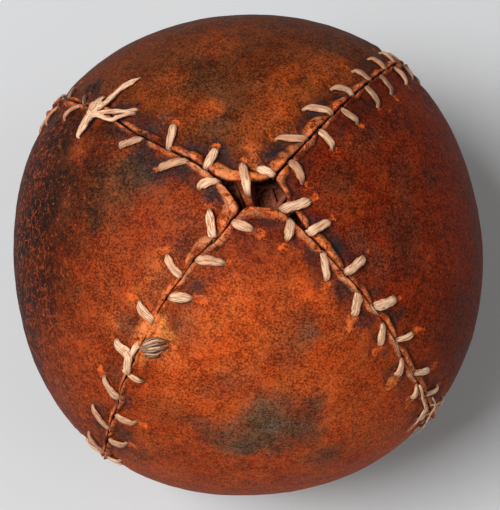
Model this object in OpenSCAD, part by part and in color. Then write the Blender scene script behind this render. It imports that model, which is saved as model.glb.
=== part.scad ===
// Lemon peel baseball: a one-piece four-petal leather cover, sewn in an X over a wound core.
// Millimetres, +Z up through the X, origin at the centre of the ball.

/* [Ball] */
// Diameter of the leather cover
ball_d = 70; // [60:0.5:82]
// Diameter of the flat that the ball has settled on, opposite the X
rest_flat_d = 12; // [8:0.5:16]

/* [Cover] */
// Thickness of the leather
leather_t = 2; // [1.6:0.1:2.6]
// How far each seam runs from the X towards the base, in degrees
seam_reach = 132; // [120:1:140]
// How far the rolled lips stand above the leather
lip_h = 0.5; // [0.3:0.05:0.7]
// Radius of the rolled lips
lip_r = 1; // [0.8:0.05:1.1]
// Length of the opening where the four points fall short of each other
opening_l = 8; // [6:0.5:10]
// Width of that opening
opening_w = 4; // [3:0.25:5]
// Bearing of the seam between the north and east petals, in degrees from +X
seam_ne = 59; // [52:1:66]
// Bearing of the seam between the west and north petals
seam_nw = 157; // [150:1:164]
// Bearing of the seam between the south and west petals
seam_sw = 242; // [235:1:249]
// Bearing of the seam between the east and south petals
seam_se = 327; // [320:1:334]

/* [Stitching] */
// Diameter of the waxed thread
thread_d = 0.9; // [0.7:0.05:1.1]
// Room round the thread in its holes and in the seams
thread_clear = 0.15; // [0.1:0.05:0.25]
// Distance of the holes from the middle of the seam
stitch_reach = 3.1; // [2.9:0.1:4]
// Spacing of the stitches past those that were set by eye, in degrees
stitch_step = 6; // [5:0.5:8]

/* [Inside] */
// Diameter of the rubber core
core_d = 24; // [16:1:34]
// Diameter of the wool winding over the core
wool_d = 46; // [38:1:52]
// Gap between one layer and the next
layer_gap = 0.15; // [0.1:0.05:0.3]

/* [Hidden] */
$fn = 96;

// The shell and what lies under it
cover_r = ball_d / 2;
inside_r = cover_r - leather_t;
flat_z = -sqrt(cover_r ^ 2 - (rest_flat_d / 2) ^ 2);
winding_r = inside_r - layer_gap;
far = 2 * cover_r;

// The seams: the slit just passes the thread, and a channel pressed into the twine takes the buried runs
slit_w = thread_d + 2 * thread_clear;
// Share of its radius that a lip's middle stands back from the slit
lip_setback = 0.6;
lip_u = slit_w / 2 + lip_setback * lip_r;
lip_start = 8;
lip_overrun = 3;
hole_d = thread_d + 2 * thread_clear;
channel_depth = thread_d + 3 * thread_clear;
channel_w = 2 * (stitch_reach + hole_d);
channel_overrun = 8;
buried_r = inside_r - 2 * thread_clear - thread_d / 2;
surface_r = cover_r + thread_clear + thread_d / 2;
ridge_r = surface_r + lip_h;

// Holes along each seam, in degrees from the X, on alternate sides of it. A side of 1 is anticlockwise of
// the seam seen from above. Each list is set by eye and then runs on at the stitch step.
ne_first = [4, 8, 12, 19, 22, 29, 32, 38, 42, 46, 52, 56, 62, 65];
nw_first = [8, 11, 14, 21, 24, 33, 36, 47, 52, 58, 65, 72];
sw_first = [7, 9, 16, 22, 26, 34, 38, 45, 49, 55, 61, 66, 71, 80];
se_first = [9, 11, 15, 23, 26, 33, 38, 43, 48, 53, 61, 64, 71];
ne_side = 1;
nw_side = -1;
sw_side = 1;
se_side = 1;
last_stitch = seam_reach - 4;

// Where the two seams that were sewn towards the X were joined: the hole that each lower thread ends at
nw_join = 7;
se_join = 12;

// The splice on the north-west seam: a tail laid over the lips, tied down by one turn of thread where the
// tail runs straight, as [degrees, distance to the side]
knot_from = [47, 0.9];
knot_to = [46, -0.9];
tail_far = [41, -7];
knot_ring_r = thread_d + 2 * thread_clear;
hitch_end = [43, -0.4];
hitch_share = 0.2;
hitch_r = ridge_r + thread_d / 2;

// A point at a bearing, an angle from the X, a distance u to the side of the seam where it meets the cover,
// and a radius. Points that differ in radius alone lie on one line through the centre.
function spot(bearing, deg, u, r) =
    let (side = u * r / cover_r, front = sqrt(r ^ 2 - side ^ 2))
    [front * sin(deg) * cos(bearing) - side * sin(bearing),
     front * sin(deg) * sin(bearing) + side * cos(bearing),
     front * cos(deg)];

function unit(v) = v / norm(v);
function mix(a, b, share) = a + (b - a) * share;
function last(list) = list[len(list) - 1];
function reversed(list) = [for (i = [len(list) - 1:-1:0]) list[i]];
function run_on(first) =
    concat(first, [for (deg = last(first) + stitch_step; deg <= last_stitch; deg = deg + stitch_step) deg]);

// Every hole of one seam as [bearing, degrees, side]
function holes(bearing, first, side) =
    let (degs = run_on(first))
    [for (i = [0:len(degs) - 1]) [bearing, degs[i], i % 2 == 0 ? side : -side]];

ne_holes = holes(seam_ne, ne_first, ne_side);
nw_holes = holes(seam_nw, nw_first, nw_side);
sw_holes = holes(seam_sw, sw_first, sw_side);
se_holes = holes(seam_se, se_first, se_side);

// One stitch: up through its hole, over the lip to the seam, and down the slit at gap_deg. It tops the lip
// part of the way along.
lip_share = 0.6;
function stitch(hole, gap_deg) =
    let (b = hole[0], deg = hole[1], u = hole[2] * stitch_reach)
    [spot(b, deg, u, buried_r),
     spot(b, deg, u, surface_r),
     spot(b, mix(deg, gap_deg, lip_share), hole[2] * lip_u, ridge_r),
     spot(b, gap_deg, 0, ridge_r),
     spot(b, gap_deg, 0, buried_r)];

// A row of stitches in sewing order: the thread goes down the slit part of the way to the next hole
lead = 0.6;
function sewn(list, end_deg) =
    [for (i = [0:len(list) - 1])
        each stitch(list[i], mix(list[i][1], i < len(list) - 1 ? list[i + 1][1] : end_deg, lead))];

// A thread's end tucked under the leather, past a hole
tuck_deg = 5;
tuck_share = 0.8;
function tucked(hole) =
    spot(hole[0], hole[1] + tuck_deg, hole[2] * stitch_reach * tuck_share, buried_r);

// The tail at the splice: up through the last hole, straight through the knot and down onto the north petal
splice_hole = nw_holes[nw_join];
splice_tail = [spot(splice_hole[0], splice_hole[1], splice_hole[2] * stitch_reach, buried_r),
               spot(splice_hole[0], splice_hole[1], splice_hole[2] * stitch_reach, surface_r),
               spot(splice_hole[0], knot_from[0], knot_from[1], ridge_r + knot_ring_r),
               spot(splice_hole[0], knot_to[0], knot_to[1], ridge_r + knot_ring_r),
               spot(splice_hole[0], tail_far[0], tail_far[1], surface_r)];

// Rounds each corner of a route into two points, a little before and after it
ease = 0.4;
function corner_point(p, i, way) = p[i] + ease * unit(p[i + way] - p[i]);
function eased(p) =
    [p[0], for (i = [1:len(p) - 2], way = [-1, 1]) corner_point(p, i, way), last(p)];

function tangent(p, i) =
    i == 0 ? unit(p[1] - p[0])
    : i == len(p) - 1 ? unit(p[i] - p[i - 1])
    : unit(unit(p[i + 1] - p[i]) + unit(p[i] - p[i - 1]));
function across(v, t) = unit(v - (v * t) * t);

// A tube of one thickness swept along a route
tube_sides = 6;
module tube(route, d) {
    n = len(route);
    t = [for (i = [0:n - 1]) tangent(route, i)];
    start = across(abs(t[0].z) < 0.9 ? [0, 0, 1] : [1, 0, 0], t[0]);
    normals = [for (i = 0, v = start; i < n; i = i + 1, v = i < n ? across(v, t[i]) : v) v];
    points = [for (i = [0:n - 1], k = [0:tube_sides - 1])
        let (a = 360 * k / tube_sides)
        route[i] + d / 2 * (cos(a) * normals[i] + sin(a) * cross(t[i], normals[i]))];
    walls = [for (i = [0:n - 2], k = [0:tube_sides - 1])
        let (a = i * tube_sides + k, b = i * tube_sides + (k + 1) % tube_sides)
        each [[a, a + tube_sides, b], [b, a + tube_sides, b + tube_sides]]];
    caps = [for (k = [1:tube_sides - 2])
        each [[0, k, k + 1],
              [(n - 1) * tube_sides, (n - 1) * tube_sides + k + 1, (n - 1) * tube_sides + k]]];
    polyhedron(points, concat(walls, caps), convexity = 10);
}

// A slab on a seam's plane, between two angles from the X
module seam_slab(bearing, w, to_deg) {
    steps = 3;
    rotate([0, 0, bearing]) rotate([90, 0, 0]) linear_extrude(w, center = true)
        polygon([[0, 0], for (i = [0:steps]) let (a = to_deg * i / steps) far * [sin(a), cos(a)]]);
}

// A rolled lip along one side of a seam
module lip(bearing, side) {
    r = cover_r + lip_h - lip_r;
    sweep = seam_reach + lip_overrun - lip_start;
    rotate([0, 0, bearing]) translate([0, side * lip_u, 0]) rotate([90, 0, 0])
        rotate([0, 0, 90 - lip_start - sweep]) rotate_extrude(angle = sweep)
            translate([sqrt(r ^ 2 - lip_u ^ 2), 0]) circle(lip_r);
}

// A hole square to the cover's surface
module thread_hole(bearing, deg, u) {
    p = spot(bearing, deg, u, cover_r);
    rotate([0, acos(p.z / cover_r), atan2(p.y, p.x)]) translate([0, 0, inside_r - leather_t])
        cylinder(h = 3 * leather_t, d = hole_d);
}

module rubber_core() {
    color("dimgray") sphere(d = core_d);
}

module wool_winding() {
    color("tan") difference() {
        sphere(d = wool_d);
        sphere(d = core_d + 2 * layer_gap);
    }
}

module twine_winding() {
    color("wheat") difference() {
        sphere(winding_r);
        sphere(d = wool_d + 2 * layer_gap);
        difference() {
            for (b = [seam_ne, seam_nw, seam_sw, seam_se])
                seam_slab(b, channel_w, seam_reach + channel_overrun);
            sphere(winding_r - channel_depth);
        }
    }
}

module leather_cover() {
    color("saddlebrown") difference() {
        union() {
            sphere(cover_r);
            for (b = [seam_ne, seam_nw, seam_sw, seam_se], side = [-1, 1])
                lip(b, side);
        }
        sphere(inside_r);
        for (b = [seam_ne, seam_nw, seam_sw, seam_se])
            seam_slab(b, slit_w, seam_reach);
        for (h = concat(ne_holes, nw_holes, sw_holes, se_holes))
            thread_hole(h[0], h[1], h[2] * stitch_reach);
        pole_opening();
        translate([-far, -far, flat_z - far]) cube([2 * far, 2 * far, far]);
    }
}

// The long opening at the X, with round ends
module pole_opening() {
    straight = opening_l - opening_w;
    for (x = [-1, 1])
        translate([x * straight / 2, 0, 0]) cylinder(h = far, d = opening_w);
    translate([-straight / 2, -opening_w / 2, 0]) cube([straight, opening_w, far]);
}

// From the splice on the north-west seam to the X, and out along the north-east seam
module north_thread() {
    inward = reversed([for (i = [0:nw_join - 1]) nw_holes[i]]);
    first = inward[0];
    dive = mix(first[1], inward[1][1], hitch_share);
    hitch = [tucked(first),
             spot(first[0], first[1], first[2] * stitch_reach, buried_r),
             spot(first[0], first[1], first[2] * stitch_reach, surface_r),
             spot(first[0], hitch_end[0], hitch_end[1], hitch_r),
             spot(first[0], dive, 0, hitch_r),
             spot(first[0], dive, 0, buried_r)];
    rest = [for (i = [1:len(inward) - 1]) inward[i]];
    end = last(ne_holes);
    color("antiquewhite")
        tube(eased(concat(hitch, sewn(rest, 0), sewn(ne_holes, seam_reach), [tucked(end)])), thread_d);
}

// From the join on the south-east seam to the X, and out along the south-west seam
module south_thread() {
    inward = reversed([for (i = [0:se_join - 1]) se_holes[i]]);
    color("antiquewhite")
        tube(eased(concat([tucked(inward[0])], sewn(inward, 0), sewn(sw_holes, seam_reach),
                          [tucked(last(sw_holes))])), thread_d);
}

// From the foot of the north-west seam up to the splice, where its tail lies over the lips
module nw_lower_thread() {
    list = reversed([for (i = [nw_join + 1:len(nw_holes) - 1]) nw_holes[i]]);
    color("antiquewhite")
        tube(eased(concat([tucked(list[0])], sewn(list, splice_hole[1]), splice_tail)), thread_d);
}

// From the foot of the south-east seam up to the join
module se_lower_thread() {
    list = reversed([for (i = [se_join:len(se_holes) - 1]) se_holes[i]]);
    color("antiquewhite")
        tube(eased(concat([tucked(list[0])], sewn(list, se_holes[se_join - 1][1] + tuck_deg))), thread_d);
}

// The turn of thread that ties the splice, square to the tail
module nw_knot() {
    before = splice_tail[2];
    after = splice_tail[3];
    along = after - before;
    color("antiquewhite") translate((before + after) / 2)
        rotate([0, acos(along.z / norm(along)), atan2(along.y, along.x)])
            rotate_extrude() translate([knot_ring_r, 0]) circle(d = thread_d);
}

rubber_core();
wool_winding();
twine_winding();
leather_cover();
north_thread();
south_thread();
nw_lower_thread();
se_lower_thread();
nw_knot();
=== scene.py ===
"""Lemon peel baseball: the looks of its leather, sewing and winding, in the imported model's frame."""
import math
from types import SimpleNamespace

import bmesh
import bpy
import numpy as np
from mathutils import Matrix, Vector
from mathutils.geometry import delaunay_2d_cdt


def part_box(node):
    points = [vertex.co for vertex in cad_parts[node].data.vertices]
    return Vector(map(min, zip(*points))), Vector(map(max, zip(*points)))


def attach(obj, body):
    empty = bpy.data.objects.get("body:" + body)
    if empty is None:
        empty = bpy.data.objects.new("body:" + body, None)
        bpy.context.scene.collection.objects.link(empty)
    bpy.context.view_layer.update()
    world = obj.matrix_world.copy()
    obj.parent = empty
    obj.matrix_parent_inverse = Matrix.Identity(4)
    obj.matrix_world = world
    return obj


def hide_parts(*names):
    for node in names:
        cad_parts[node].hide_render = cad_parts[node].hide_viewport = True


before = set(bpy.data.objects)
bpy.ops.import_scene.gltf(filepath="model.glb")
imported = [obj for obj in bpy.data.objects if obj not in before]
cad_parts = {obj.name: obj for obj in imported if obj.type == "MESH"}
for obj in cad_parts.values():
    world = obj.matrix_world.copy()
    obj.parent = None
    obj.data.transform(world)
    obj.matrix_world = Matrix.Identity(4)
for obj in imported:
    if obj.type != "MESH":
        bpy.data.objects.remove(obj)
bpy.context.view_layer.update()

# Sizes, in millimetres and degrees as in the CAD model. MM turns them into the frame's metres.
MM = 0.001
BALL_R = 35.0
LEATHER_T = 2.0
SEAM_REACH = 132.0
STITCH_STEP = 6.0
LAST_STITCH = SEAM_REACH - 4.0
REST_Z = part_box("leather_cover")[0][2] / MM
ARC = BALL_R * math.pi / 180.0

# The seams. Holes are given in degrees from the X, on alternate sides, as in the CAD model, and then where
# each strand goes down into the seam. On a seam's plus and minus sides, the holes lie at a reach from it and
# are torn by a share, and the lips have a size by (degrees, share). The gap is half the width that the seam
# gapes, and the dirt is a share, which also scales the painted shade in the creases beside the lips. The
# threads have a width, as a share, and are grimed from one share to another; the grime also paints shade on
# them, most on the north-east seam. The line wanders to the side by (degrees, millimetres), as a hand-cut
# edge does.
SEAMS = {
    "ne": {"bearing": 59.0, "side": 1, "reach": (3.0, 3.1), "tears": (0.45, 0.5),
           "gap": 0.06, "dirt": 1.0, "thread": 0.88, "grime_and_shade": (0.25, 0.55),
           "lips": ([(0, 1.9), (10, 1.7), (20, 1.5), (30, 1.1), (42, 0.7), (132, 0.7)],
                    [(0, 1.1), (7, 0.9), (12, 0.7), (28, 0.65), (40, 0.45), (132, 0.8)]),
           "first": [4, 8, 12, 19, 22, 29, 32, 38, 42, 46, 52, 56, 62, 65],
           "down": [5, 9.6, 16.2, 19.8, 25.4, 28.5, 34, 39.5, 43, 47.5, 52.5, 57.5, 62, 68],
           "wander": [(0, -0.1), (8, -0.4), (20, -0.3), (60, -0.3), (90, -0.5), (132, 0)]},
    "nw": {"bearing": 157.0, "side": -1, "reach": (2.7, 3.3), "tears": (0.2, 0.5),
           "gap": 0.09, "dirt": 1.0, "thread": 0.95, "grime_and_shade": (0.2, 0.5),
           "lips": ([(0, 1.5), (8, 0.8), (20, 0.5), (45, 0.45), (132, 0.8)],
                    [(0, 2.2), (10, 1.9), (17, 1.0), (45, 0.75), (132, 0.8)]),
           "first": [6.5, 11, 12.5, 21, 24, 33, 36, 47, 54, 58, 65, 72],
           "down": [2, 8, 12, 16, 21.5, 28.5, 37, 47, 52, 53, 61, 68],
           "wander": [(0, 0.9), (5, 1.3), (8, 1.25), (12, 0.85), (28, 0.8), (45, -0.8), (60, -1.3),
                      (78, -0.8), (110, 0.4), (132, 0)]},
    "sw": {"bearing": 242.0, "side": 1, "reach": (2.6, 3.4), "tears": (0.6, 0.45),
           "gap": 0.02, "dirt": 0.4, "thread": 1.0, "grime_and_shade": (0.0, 0.2),
           "lips": ([(0, 1.2), (10, 1.0), (24, 0.7), (40, 0.5), (132, 0.8)],
                    [(0, 1.6), (14, 1.4), (26, 0.8), (40, 0.5), (132, 0.8)]),
           "first": [7, 9, 16, 22, 26, 34, 38, 45, 49, 55, 61, 66, 71, 80],
           "down": [8, 13.4, 18.8, 23.5, 28.7, 35, 42, 45, 49.5, 57, 62.5, 69, 74, 86],
           "wander": [(0, 0), (10, -0.3), (20, -1.2), (30, -1.2), (40, -0.7), (50, -0.1), (62, 1), (80, 1.8),
                      (105, 0.8), (132, 0)]},
    "se": {"bearing": 327.0, "side": 1, "reach": (3.2, 2.2), "tears": (0.5, 1.5),
           "gap": 0.03, "dirt": 1.0, "thread": 1.05, "grime_and_shade": (0.0, 0.2),
           "lips": ([(0, 1.1), (10, 1.2), (40, 0.85), (132, 0.8)],
                    [(0, 1.2), (10, 1.0), (26, 0.8), (40, 0.5), (132, 0.8)]),
           "first": [9, 11, 15, 23, 26, 33, 38, 43, 48, 53, 61, 64, 71],
           "down": [6, 8.7, 13.3, 18, 25, 30, 34.5, 39.5, 45, 50, 56, 60.5, 67],
           "wander": [(0, 0.0), (10, 0.3), (27, 0.2), (38, -0.1), (55, -1.1), (75, -0.9), (100, 0.4),
                      (132, 0)]},
}
SEAM_NAMES = ["ne", "nw", "sw", "se"]
# Petals, each between two seams in turn. A tip is cut off square to a bearing, at a distance from the X. The
# contrast is that of the leather's mottling.
PETALS = [{"name": "north", "from": 0, "to": 1, "cut": 98.0, "tip": 1.15, "contrast": 1.5},
          {"name": "west", "from": 1, "to": 2, "cut": 221.0, "tip": 3.0, "contrast": 1.55},
          {"name": "south", "from": 2, "to": 3, "cut": 275.0, "tip": 2.0, "contrast": 1.15},
          {"name": "east", "from": 3, "to": 0, "cut": 41.0, "tip": 2.65, "contrast": 1.6}]
NORTH, WEST, SOUTH = 0, 1, 2
# How far from the X the rays fan out that shape each tip, how far from it the square cut counts, and how
# softly the edges of seams and tips run into one another
TIP_REACH = 18.0
CUT_REACH = TIP_REACH + 6.0
SEAM_BLEND = 0.8
TIP_BLEND = 0.7
# The stitches at which two lengths of thread join
NW_JOIN = 7
SE_JOIN = 12

# The rolled lips: their height, how far from the cut their crest and foot lie, and the cut edge's height
LIP_H = 0.7
LIP_PEAK = 0.26
LIP_W = 1.15
EDGE_H = 0.22
# The strands flatten the lips by a share, along a length that is less within some degrees of the X. Each
# crosses the lip at a share of its way from the hole.
PINCH = 0.72
PRESS_W = 1.15
PRESS_W_AT_X = 0.8
NEAR_X = 14.0
LIP_CROSSING = 0.7
# How far a seam gapes beside the X, and where a strand goes down: millimetres and half length
GAPE_AT_X = (0.1, 5.0)
GAPE_AT_STRAND = (0.13, 0.45)
# Where the south-west seam is worn shut: degrees and half length, and how far, as a share
SHUT = (38.5, 2.6)
SHUT_SHARE = 0.9
# The north tip's lower corner is tucked in under the south tip: its place from the X, its half width, its
# bearing, and how far it goes
TUCK_AT = (-2.0, 0.9)
TUCK_W = 0.75
TUCK_BEARING = 297.0
TUCK_LENGTH = 4.0
# The thread's width, and how far its strands are pressed flat, as a share
THREAD_W = 1.08
THREAD_FLAT = 5 / 6
# More than any distance on the ball
FAR = 1e3


# Numbers and noise

def hash_grid(ix, iy, iz):
    """A repeatable value from -1 to 1 for each cell of a grid."""
    h = (ix * 374761393 + iy * 668265263 + iz * 2246822519) & 0xFFFFFFFF
    h = ((h ^ (h >> 13)) * 1274126177) & 0xFFFFFFFF
    h = h ^ (h >> 16)
    return h / 2147483648.0 - 1.0


def soft_noise(points, size, seed=0.0):
    """Smooth noise from -1 to 1 at points in millimetres, with features of about one size."""
    p = np.asarray(points, float) / size + seed * 17.31
    base = np.floor(p).astype(np.int64)
    f = p - base
    f = f * f * (3.0 - 2.0 * f)
    total = np.zeros(len(p))
    for corner in range(8):
        d = np.array([corner & 1, corner >> 1 & 1, corner >> 2 & 1])
        weight = np.prod(np.where(d == 1, f, 1.0 - f), axis=1)
        total += weight * hash_grid(*(base + d).T)
    return total


def cloudy(points, size, octaves=3, seed=0.0):
    """Noise with finer and finer detail."""
    total = np.zeros(len(points))
    for k in range(octaves):
        total += soft_noise(points, size / 2 ** k, seed + k) / 2 ** k
    return total


def step(x, low, high):
    """0 at low, 1 at high, smooth between and level beyond. It falls where low is the greater."""
    t = np.clip((np.asarray(x, float) - low) / (high - low), 0.0, 1.0)
    return t * t * (3.0 - 2.0 * t)


def bump(x, width):
    return np.exp(-(np.asarray(x, float) / width) ** 2)


def soft_min(a, b, k):
    h = np.clip(0.5 + 0.5 * (b - a) / k, 0.0, 1.0)
    return b * (1.0 - h) + a * h - k * h * (1.0 - h)


def eased_through(x, knots):
    """A smooth curve through given knots, level at each."""
    xs = np.array([k[0] for k in knots], float)
    ys = np.array([k[1] for k in knots], float)
    x = np.clip(np.asarray(x, float), xs[0], xs[-1])
    i = np.clip(np.searchsorted(xs, x, side="right") - 1, 0, len(xs) - 2)
    t = (x - xs[i]) / (xs[i + 1] - xs[i])
    return ys[i] + (ys[i + 1] - ys[i]) * t * t * (3.0 - 2.0 * t)


def colour(r, g, b):
    """A linear colour from one written as it looks, 0 to 255."""
    c = np.array([r, g, b]) / 255.0
    return np.where(c <= 0.04045, c / 12.92, ((c + 0.055) / 1.055) ** 2.4)


def unit_of(vectors):
    """Vectors, along the last axis, made one long."""
    return vectors / np.linalg.norm(vectors, axis=-1, keepdims=True)


# Places on the ball

def bearing_of(unit):
    return np.arctan2(unit[:, 1], unit[:, 0])


def polar_of(unit):
    """Degrees from the X."""
    return np.degrees(np.arccos(np.clip(unit[:, 2], -1, 1)))


def direction(polar, bearing):
    """Unit vectors at angles from the X and round it, in radians."""
    flat = np.sin(polar)
    return np.stack([flat * np.cos(bearing), flat * np.sin(bearing), np.cos(polar)], axis=-1)


def on_seam(seam, deg, u):
    """Points of the plain ball, at an angle from the X and a distance u beside the seam's straight line."""
    b = math.radians(SEAMS[seam]["bearing"])
    deg, u = np.broadcast_arrays(np.asarray(deg, float), np.asarray(u, float))
    a = np.radians(deg)
    front = np.sqrt(BALL_R ** 2 - u ** 2)
    return np.stack([front * np.sin(a) * math.cos(b) - u * math.sin(b),
                     front * np.sin(a) * math.sin(b) + u * math.cos(b),
                     front * np.cos(a)], axis=-1)


def seam_place(points, seam):
    """Angle from the X along a seam, and distance to the side of its wandering line."""
    x, y, z = unit_of(points).T
    b = math.radians(SEAMS[seam]["bearing"])
    deg = np.degrees(np.arctan2(x * math.cos(b) + y * math.sin(b), z))
    side = -x * math.sin(b) + y * math.cos(b)
    return deg, side * BALL_R - wander(seam, deg)


def wander(seam, deg):
    return eased_through(deg, SEAMS[seam]["wander"])


def by_side(seam, key, side):
    """What a seam gives for its plus or its minus side."""
    return SEAMS[seam][key][0 if side > 0 else 1]


def gap_half(seam, deg):
    """Half the width of the open seam: it gapes near the X and a little where each strand goes down."""
    s = np.asarray(deg, float) * ARC
    open_up = GAPE_AT_X[0] * bump(s, GAPE_AT_X[1])
    strands = sum(bump(s - st["gap"] * ARC, GAPE_AT_STRAND[1]) for st in STITCHES[seam])
    worn_shut = SHUT_SHARE * bump(s - SHUT[0] * ARC, SHUT[1]) if seam == "sw" else 0.0
    return (SEAMS[seam]["gap"] + open_up + GAPE_AT_STRAND[0] * np.minimum(strands, 1.0)) * (1.0 - worn_shut)


def petal_of(near, side):
    """The index of the petal that each point lies in, from its nearest seam and its side of that."""
    return (near - (side < 0)) % len(PETALS)


def middle_bearing(petal):
    a = SEAMS[SEAM_NAMES[petal["from"]]]["bearing"]
    b = SEAMS[SEAM_NAMES[petal["to"]]]["bearing"]
    return a + ((b - a) % 360.0) / 2.0


def edge_distance(points):
    """How far each point lies from the leather's edge, with the seam that is nearest and its place on it."""
    dist = np.full(len(points), FAR)
    least = dist.copy()
    near = np.zeros(len(points), int)
    deg = np.zeros(len(points))
    side = np.zeros(len(points))
    for k, seam in enumerate(SEAM_NAMES):
        d, v = seam_place(points, seam)
        past = np.where(d < 0, -d, np.maximum(d - SEAM_REACH, 0.0)) * ARC
        away = np.hypot(past, v) - gap_half(seam, d)
        closer = (away < least) & (d >= 0)
        least[closer] = away[closer]
        near[closer] = k
        deg[closer] = d[closer]
        side[closer] = v[closer]
        dist = soft_min(dist, away, SEAM_BLEND)
    unit = unit_of(points)
    flat_r = polar_of(unit) * ARC
    petal = petal_of(near, side)
    cuts = np.radians([p["cut"] for p in PETALS])[petal]
    tips = np.array([p["tip"] for p in PETALS])[petal]
    from_tip = np.where(flat_r < CUT_REACH, flat_r * np.cos(bearing_of(unit) - cuts) - tips, FAR)
    return soft_min(dist, from_tip, TIP_BLEND), near, deg, side


# Stitches, in degrees along their seam

def stitch_row(seam, chance):
    """Every stitch of a seam: its hole, its side and where its strand goes down into the seam."""
    data = SEAMS[seam]
    degs = list(data["first"])
    while degs[-1] + STITCH_STEP <= LAST_STITCH:
        degs.append(degs[-1] + STITCH_STEP)
    outward = seam in ("ne", "sw")
    rows = []
    for i, deg in enumerate(degs):
        following = i + 1 if outward else i - 1
        goal = degs[following] if 0 <= following < len(degs) else (SEAM_REACH if outward else 0.0)
        gap = data["down"][i] if i < len(data["down"]) else deg + (goal - deg) * chance.uniform(0.43, 0.67)
        side = data["side"] if i % 2 == 0 else -data["side"]
        rows.append({"seam": seam, "hole": deg, "gap": gap, "side": side,
                     "reach": by_side(seam, "reach", side) + chance.uniform(-0.3, 0.3),
                     "width": THREAD_W * data["thread"] * chance.uniform(0.88, 1.14),
                     "soil": chance.uniform(*data["grime_and_shade"]),
                     "bow": chance.uniform(-0.5, 0.5), "torn": 1.0, "lift": 0.0})
    return rows


# Stitches that the photograph shows unlike the rest of their seam: lighter or darker, thinner or broader,
# shorter or longer, less torn at the hole, or lying elsewhere
STITCH_CHANGES = {
    "ne": {0: dict(reach=2.2, soil=0.0), 1: dict(soil=0.45), 3: dict(soil=0.2), 4: dict(soil=0.2),
           7: dict(soil=0.65), 8: dict(soil=0.5), 9: dict(soil=0.75)},
    "nw": {0: dict(hole=5.8, gap=1.3, reach=3.5, lift=0.5, soil=0.0), 1: dict(reach=2.4, soil=0.0),
           2: dict(soil=0.1), 3: dict(soil=0.4), 4: dict(soil=0.2), 5: dict(soil=0.4), 6: dict(torn=0.0),
           7: dict(torn=0.0), 8: dict(soil=0.9, width=0.6, reach=1.5, torn=0.3),
           9: dict(soil=0.45, width=0.7), 10: dict(soil=0.7, width=0.6)},
    "sw": {0: dict(soil=0.15), 2: dict(soil=0.25), 3: dict(soil=0.0), 5: dict(reach=3.0),
           6: dict(soil=0.8, width=0.6, reach=2.9), 7: dict(soil=0.0, width=1.4),
           8: dict(soil=0.1, width=0.75, reach=2.0), 9: dict(soil=0.25), 10: dict(soil=0.3),
           11: dict(soil=0.3), 12: dict(soil=0.3), 13: dict(soil=0.3)},
    "se": {1: dict(torn=0.3, soil=0.2), 3: dict(torn=0.45), 4: dict(reach=3.5), 7: dict(torn=0.75, soil=0.2),
           8: dict(soil=0.0), 10: dict(soil=0.0), 12: dict(soil=0.0)},
}
# The south-east seam's lower stitches are thinner and shorter, as shares
SE_SMALL = range(7, 13)
SE_SMALL_WIDTH = 0.78
SE_SMALL_REACH = 0.85


def all_stitches():
    """The rows of stitches by seam."""
    chance = np.random.default_rng(7)
    rows = {seam: stitch_row(seam, chance) for seam in SEAM_NAMES}
    for seam, changes in STITCH_CHANGES.items():
        for number, change in changes.items():
            rows[seam][number].update(change)
    for number in SE_SMALL:
        rows["se"][number]["width"] *= SE_SMALL_WIDTH
        rows["se"][number]["reach"] *= SE_SMALL_REACH
    return rows


STITCHES = all_stitches()


def crossing(st):
    """Where along its seam a strand crosses the lip."""
    return st["hole"] + (st["gap"] - st["hole"]) * LIP_CROSSING


def pressing(seam_index, deg, side):
    """How hard the strands press the lips down, from 0 to 1."""
    total = np.zeros(len(deg))
    for k, seam in enumerate(SEAM_NAMES):
        for st in STITCHES[seam]:
            here = (seam_index == k) & (np.sign(side) == st["side"])
            middle = crossing(st)
            width = PRESS_W if middle > NEAR_X else PRESS_W_AT_X
            total[here] = np.maximum(total[here], bump((deg[here] - middle) * ARC, width))
    return total


def hole_points():
    """Every hole: its mouth on the plain ball, the way off from the seam, and how badly it is torn."""
    chance = np.random.default_rng(11)
    holes = []
    for seam in SEAM_NAMES:
        for st in STITCHES[seam]:
            u = st["side"] * st["reach"] + wander(seam, st["hole"])
            mouth = on_seam(seam, st["hole"], u)
            past = on_seam(seam, st["hole"] + (st["hole"] - st["gap"]) * 0.3, u + st["side"])
            tear = by_side(seam, "tears", st["side"]) * chance.uniform(0.7, 1.3) * st["torn"]
            holes.append((mouth, unit_of(past - mouth), tear))
    return holes


HOLES = hole_points()


def hole_field(points):
    """For each point: distance to the nearest hole, how far beyond and beside that it lies, and its tear."""
    best = np.full(len(points), FAR)
    beyond = np.zeros(len(points))
    beside = np.zeros(len(points))
    tears = np.zeros(len(points))
    ball = unit_of(points) * BALL_R
    for mouth, way, tear in HOLES:
        d = ball - mouth
        r = np.linalg.norm(d, axis=1)
        closer = r < best
        best[closer] = r[closer]
        beyond[closer] = d[closer] @ way
        beside[closer] = np.sqrt(np.maximum(r[closer] ** 2 - beyond[closer] ** 2, 0.0))
        tears[closer] = tear
    return best, beyond, beside, tears


# Leather

# The ball isn't round: it is fuller along the seams than over the petals, and narrower from west to east.
# Each as millimetres and a bearing.
FULLER = (0.5, 61.0)
NARROWER = (0.45, 9.0)
UNEVEN = 0.14


def ball_shape(points):
    """How far the ball stands out from a round one."""
    unit = unit_of(points)
    bearing = bearing_of(unit)
    level = np.clip(1.0 - unit[:, 2] ** 2, 0.0, 1.0)
    square = FULLER[0] * np.cos(4.0 * (bearing - math.radians(FULLER[1])))
    narrow = -NARROWER[0] * np.cos(2.0 * (bearing - math.radians(NARROWER[1])))
    return level * (square * np.sqrt(level) + narrow) + UNEVEN * cloudy(points, 15.0, 2, 3.0)


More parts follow.
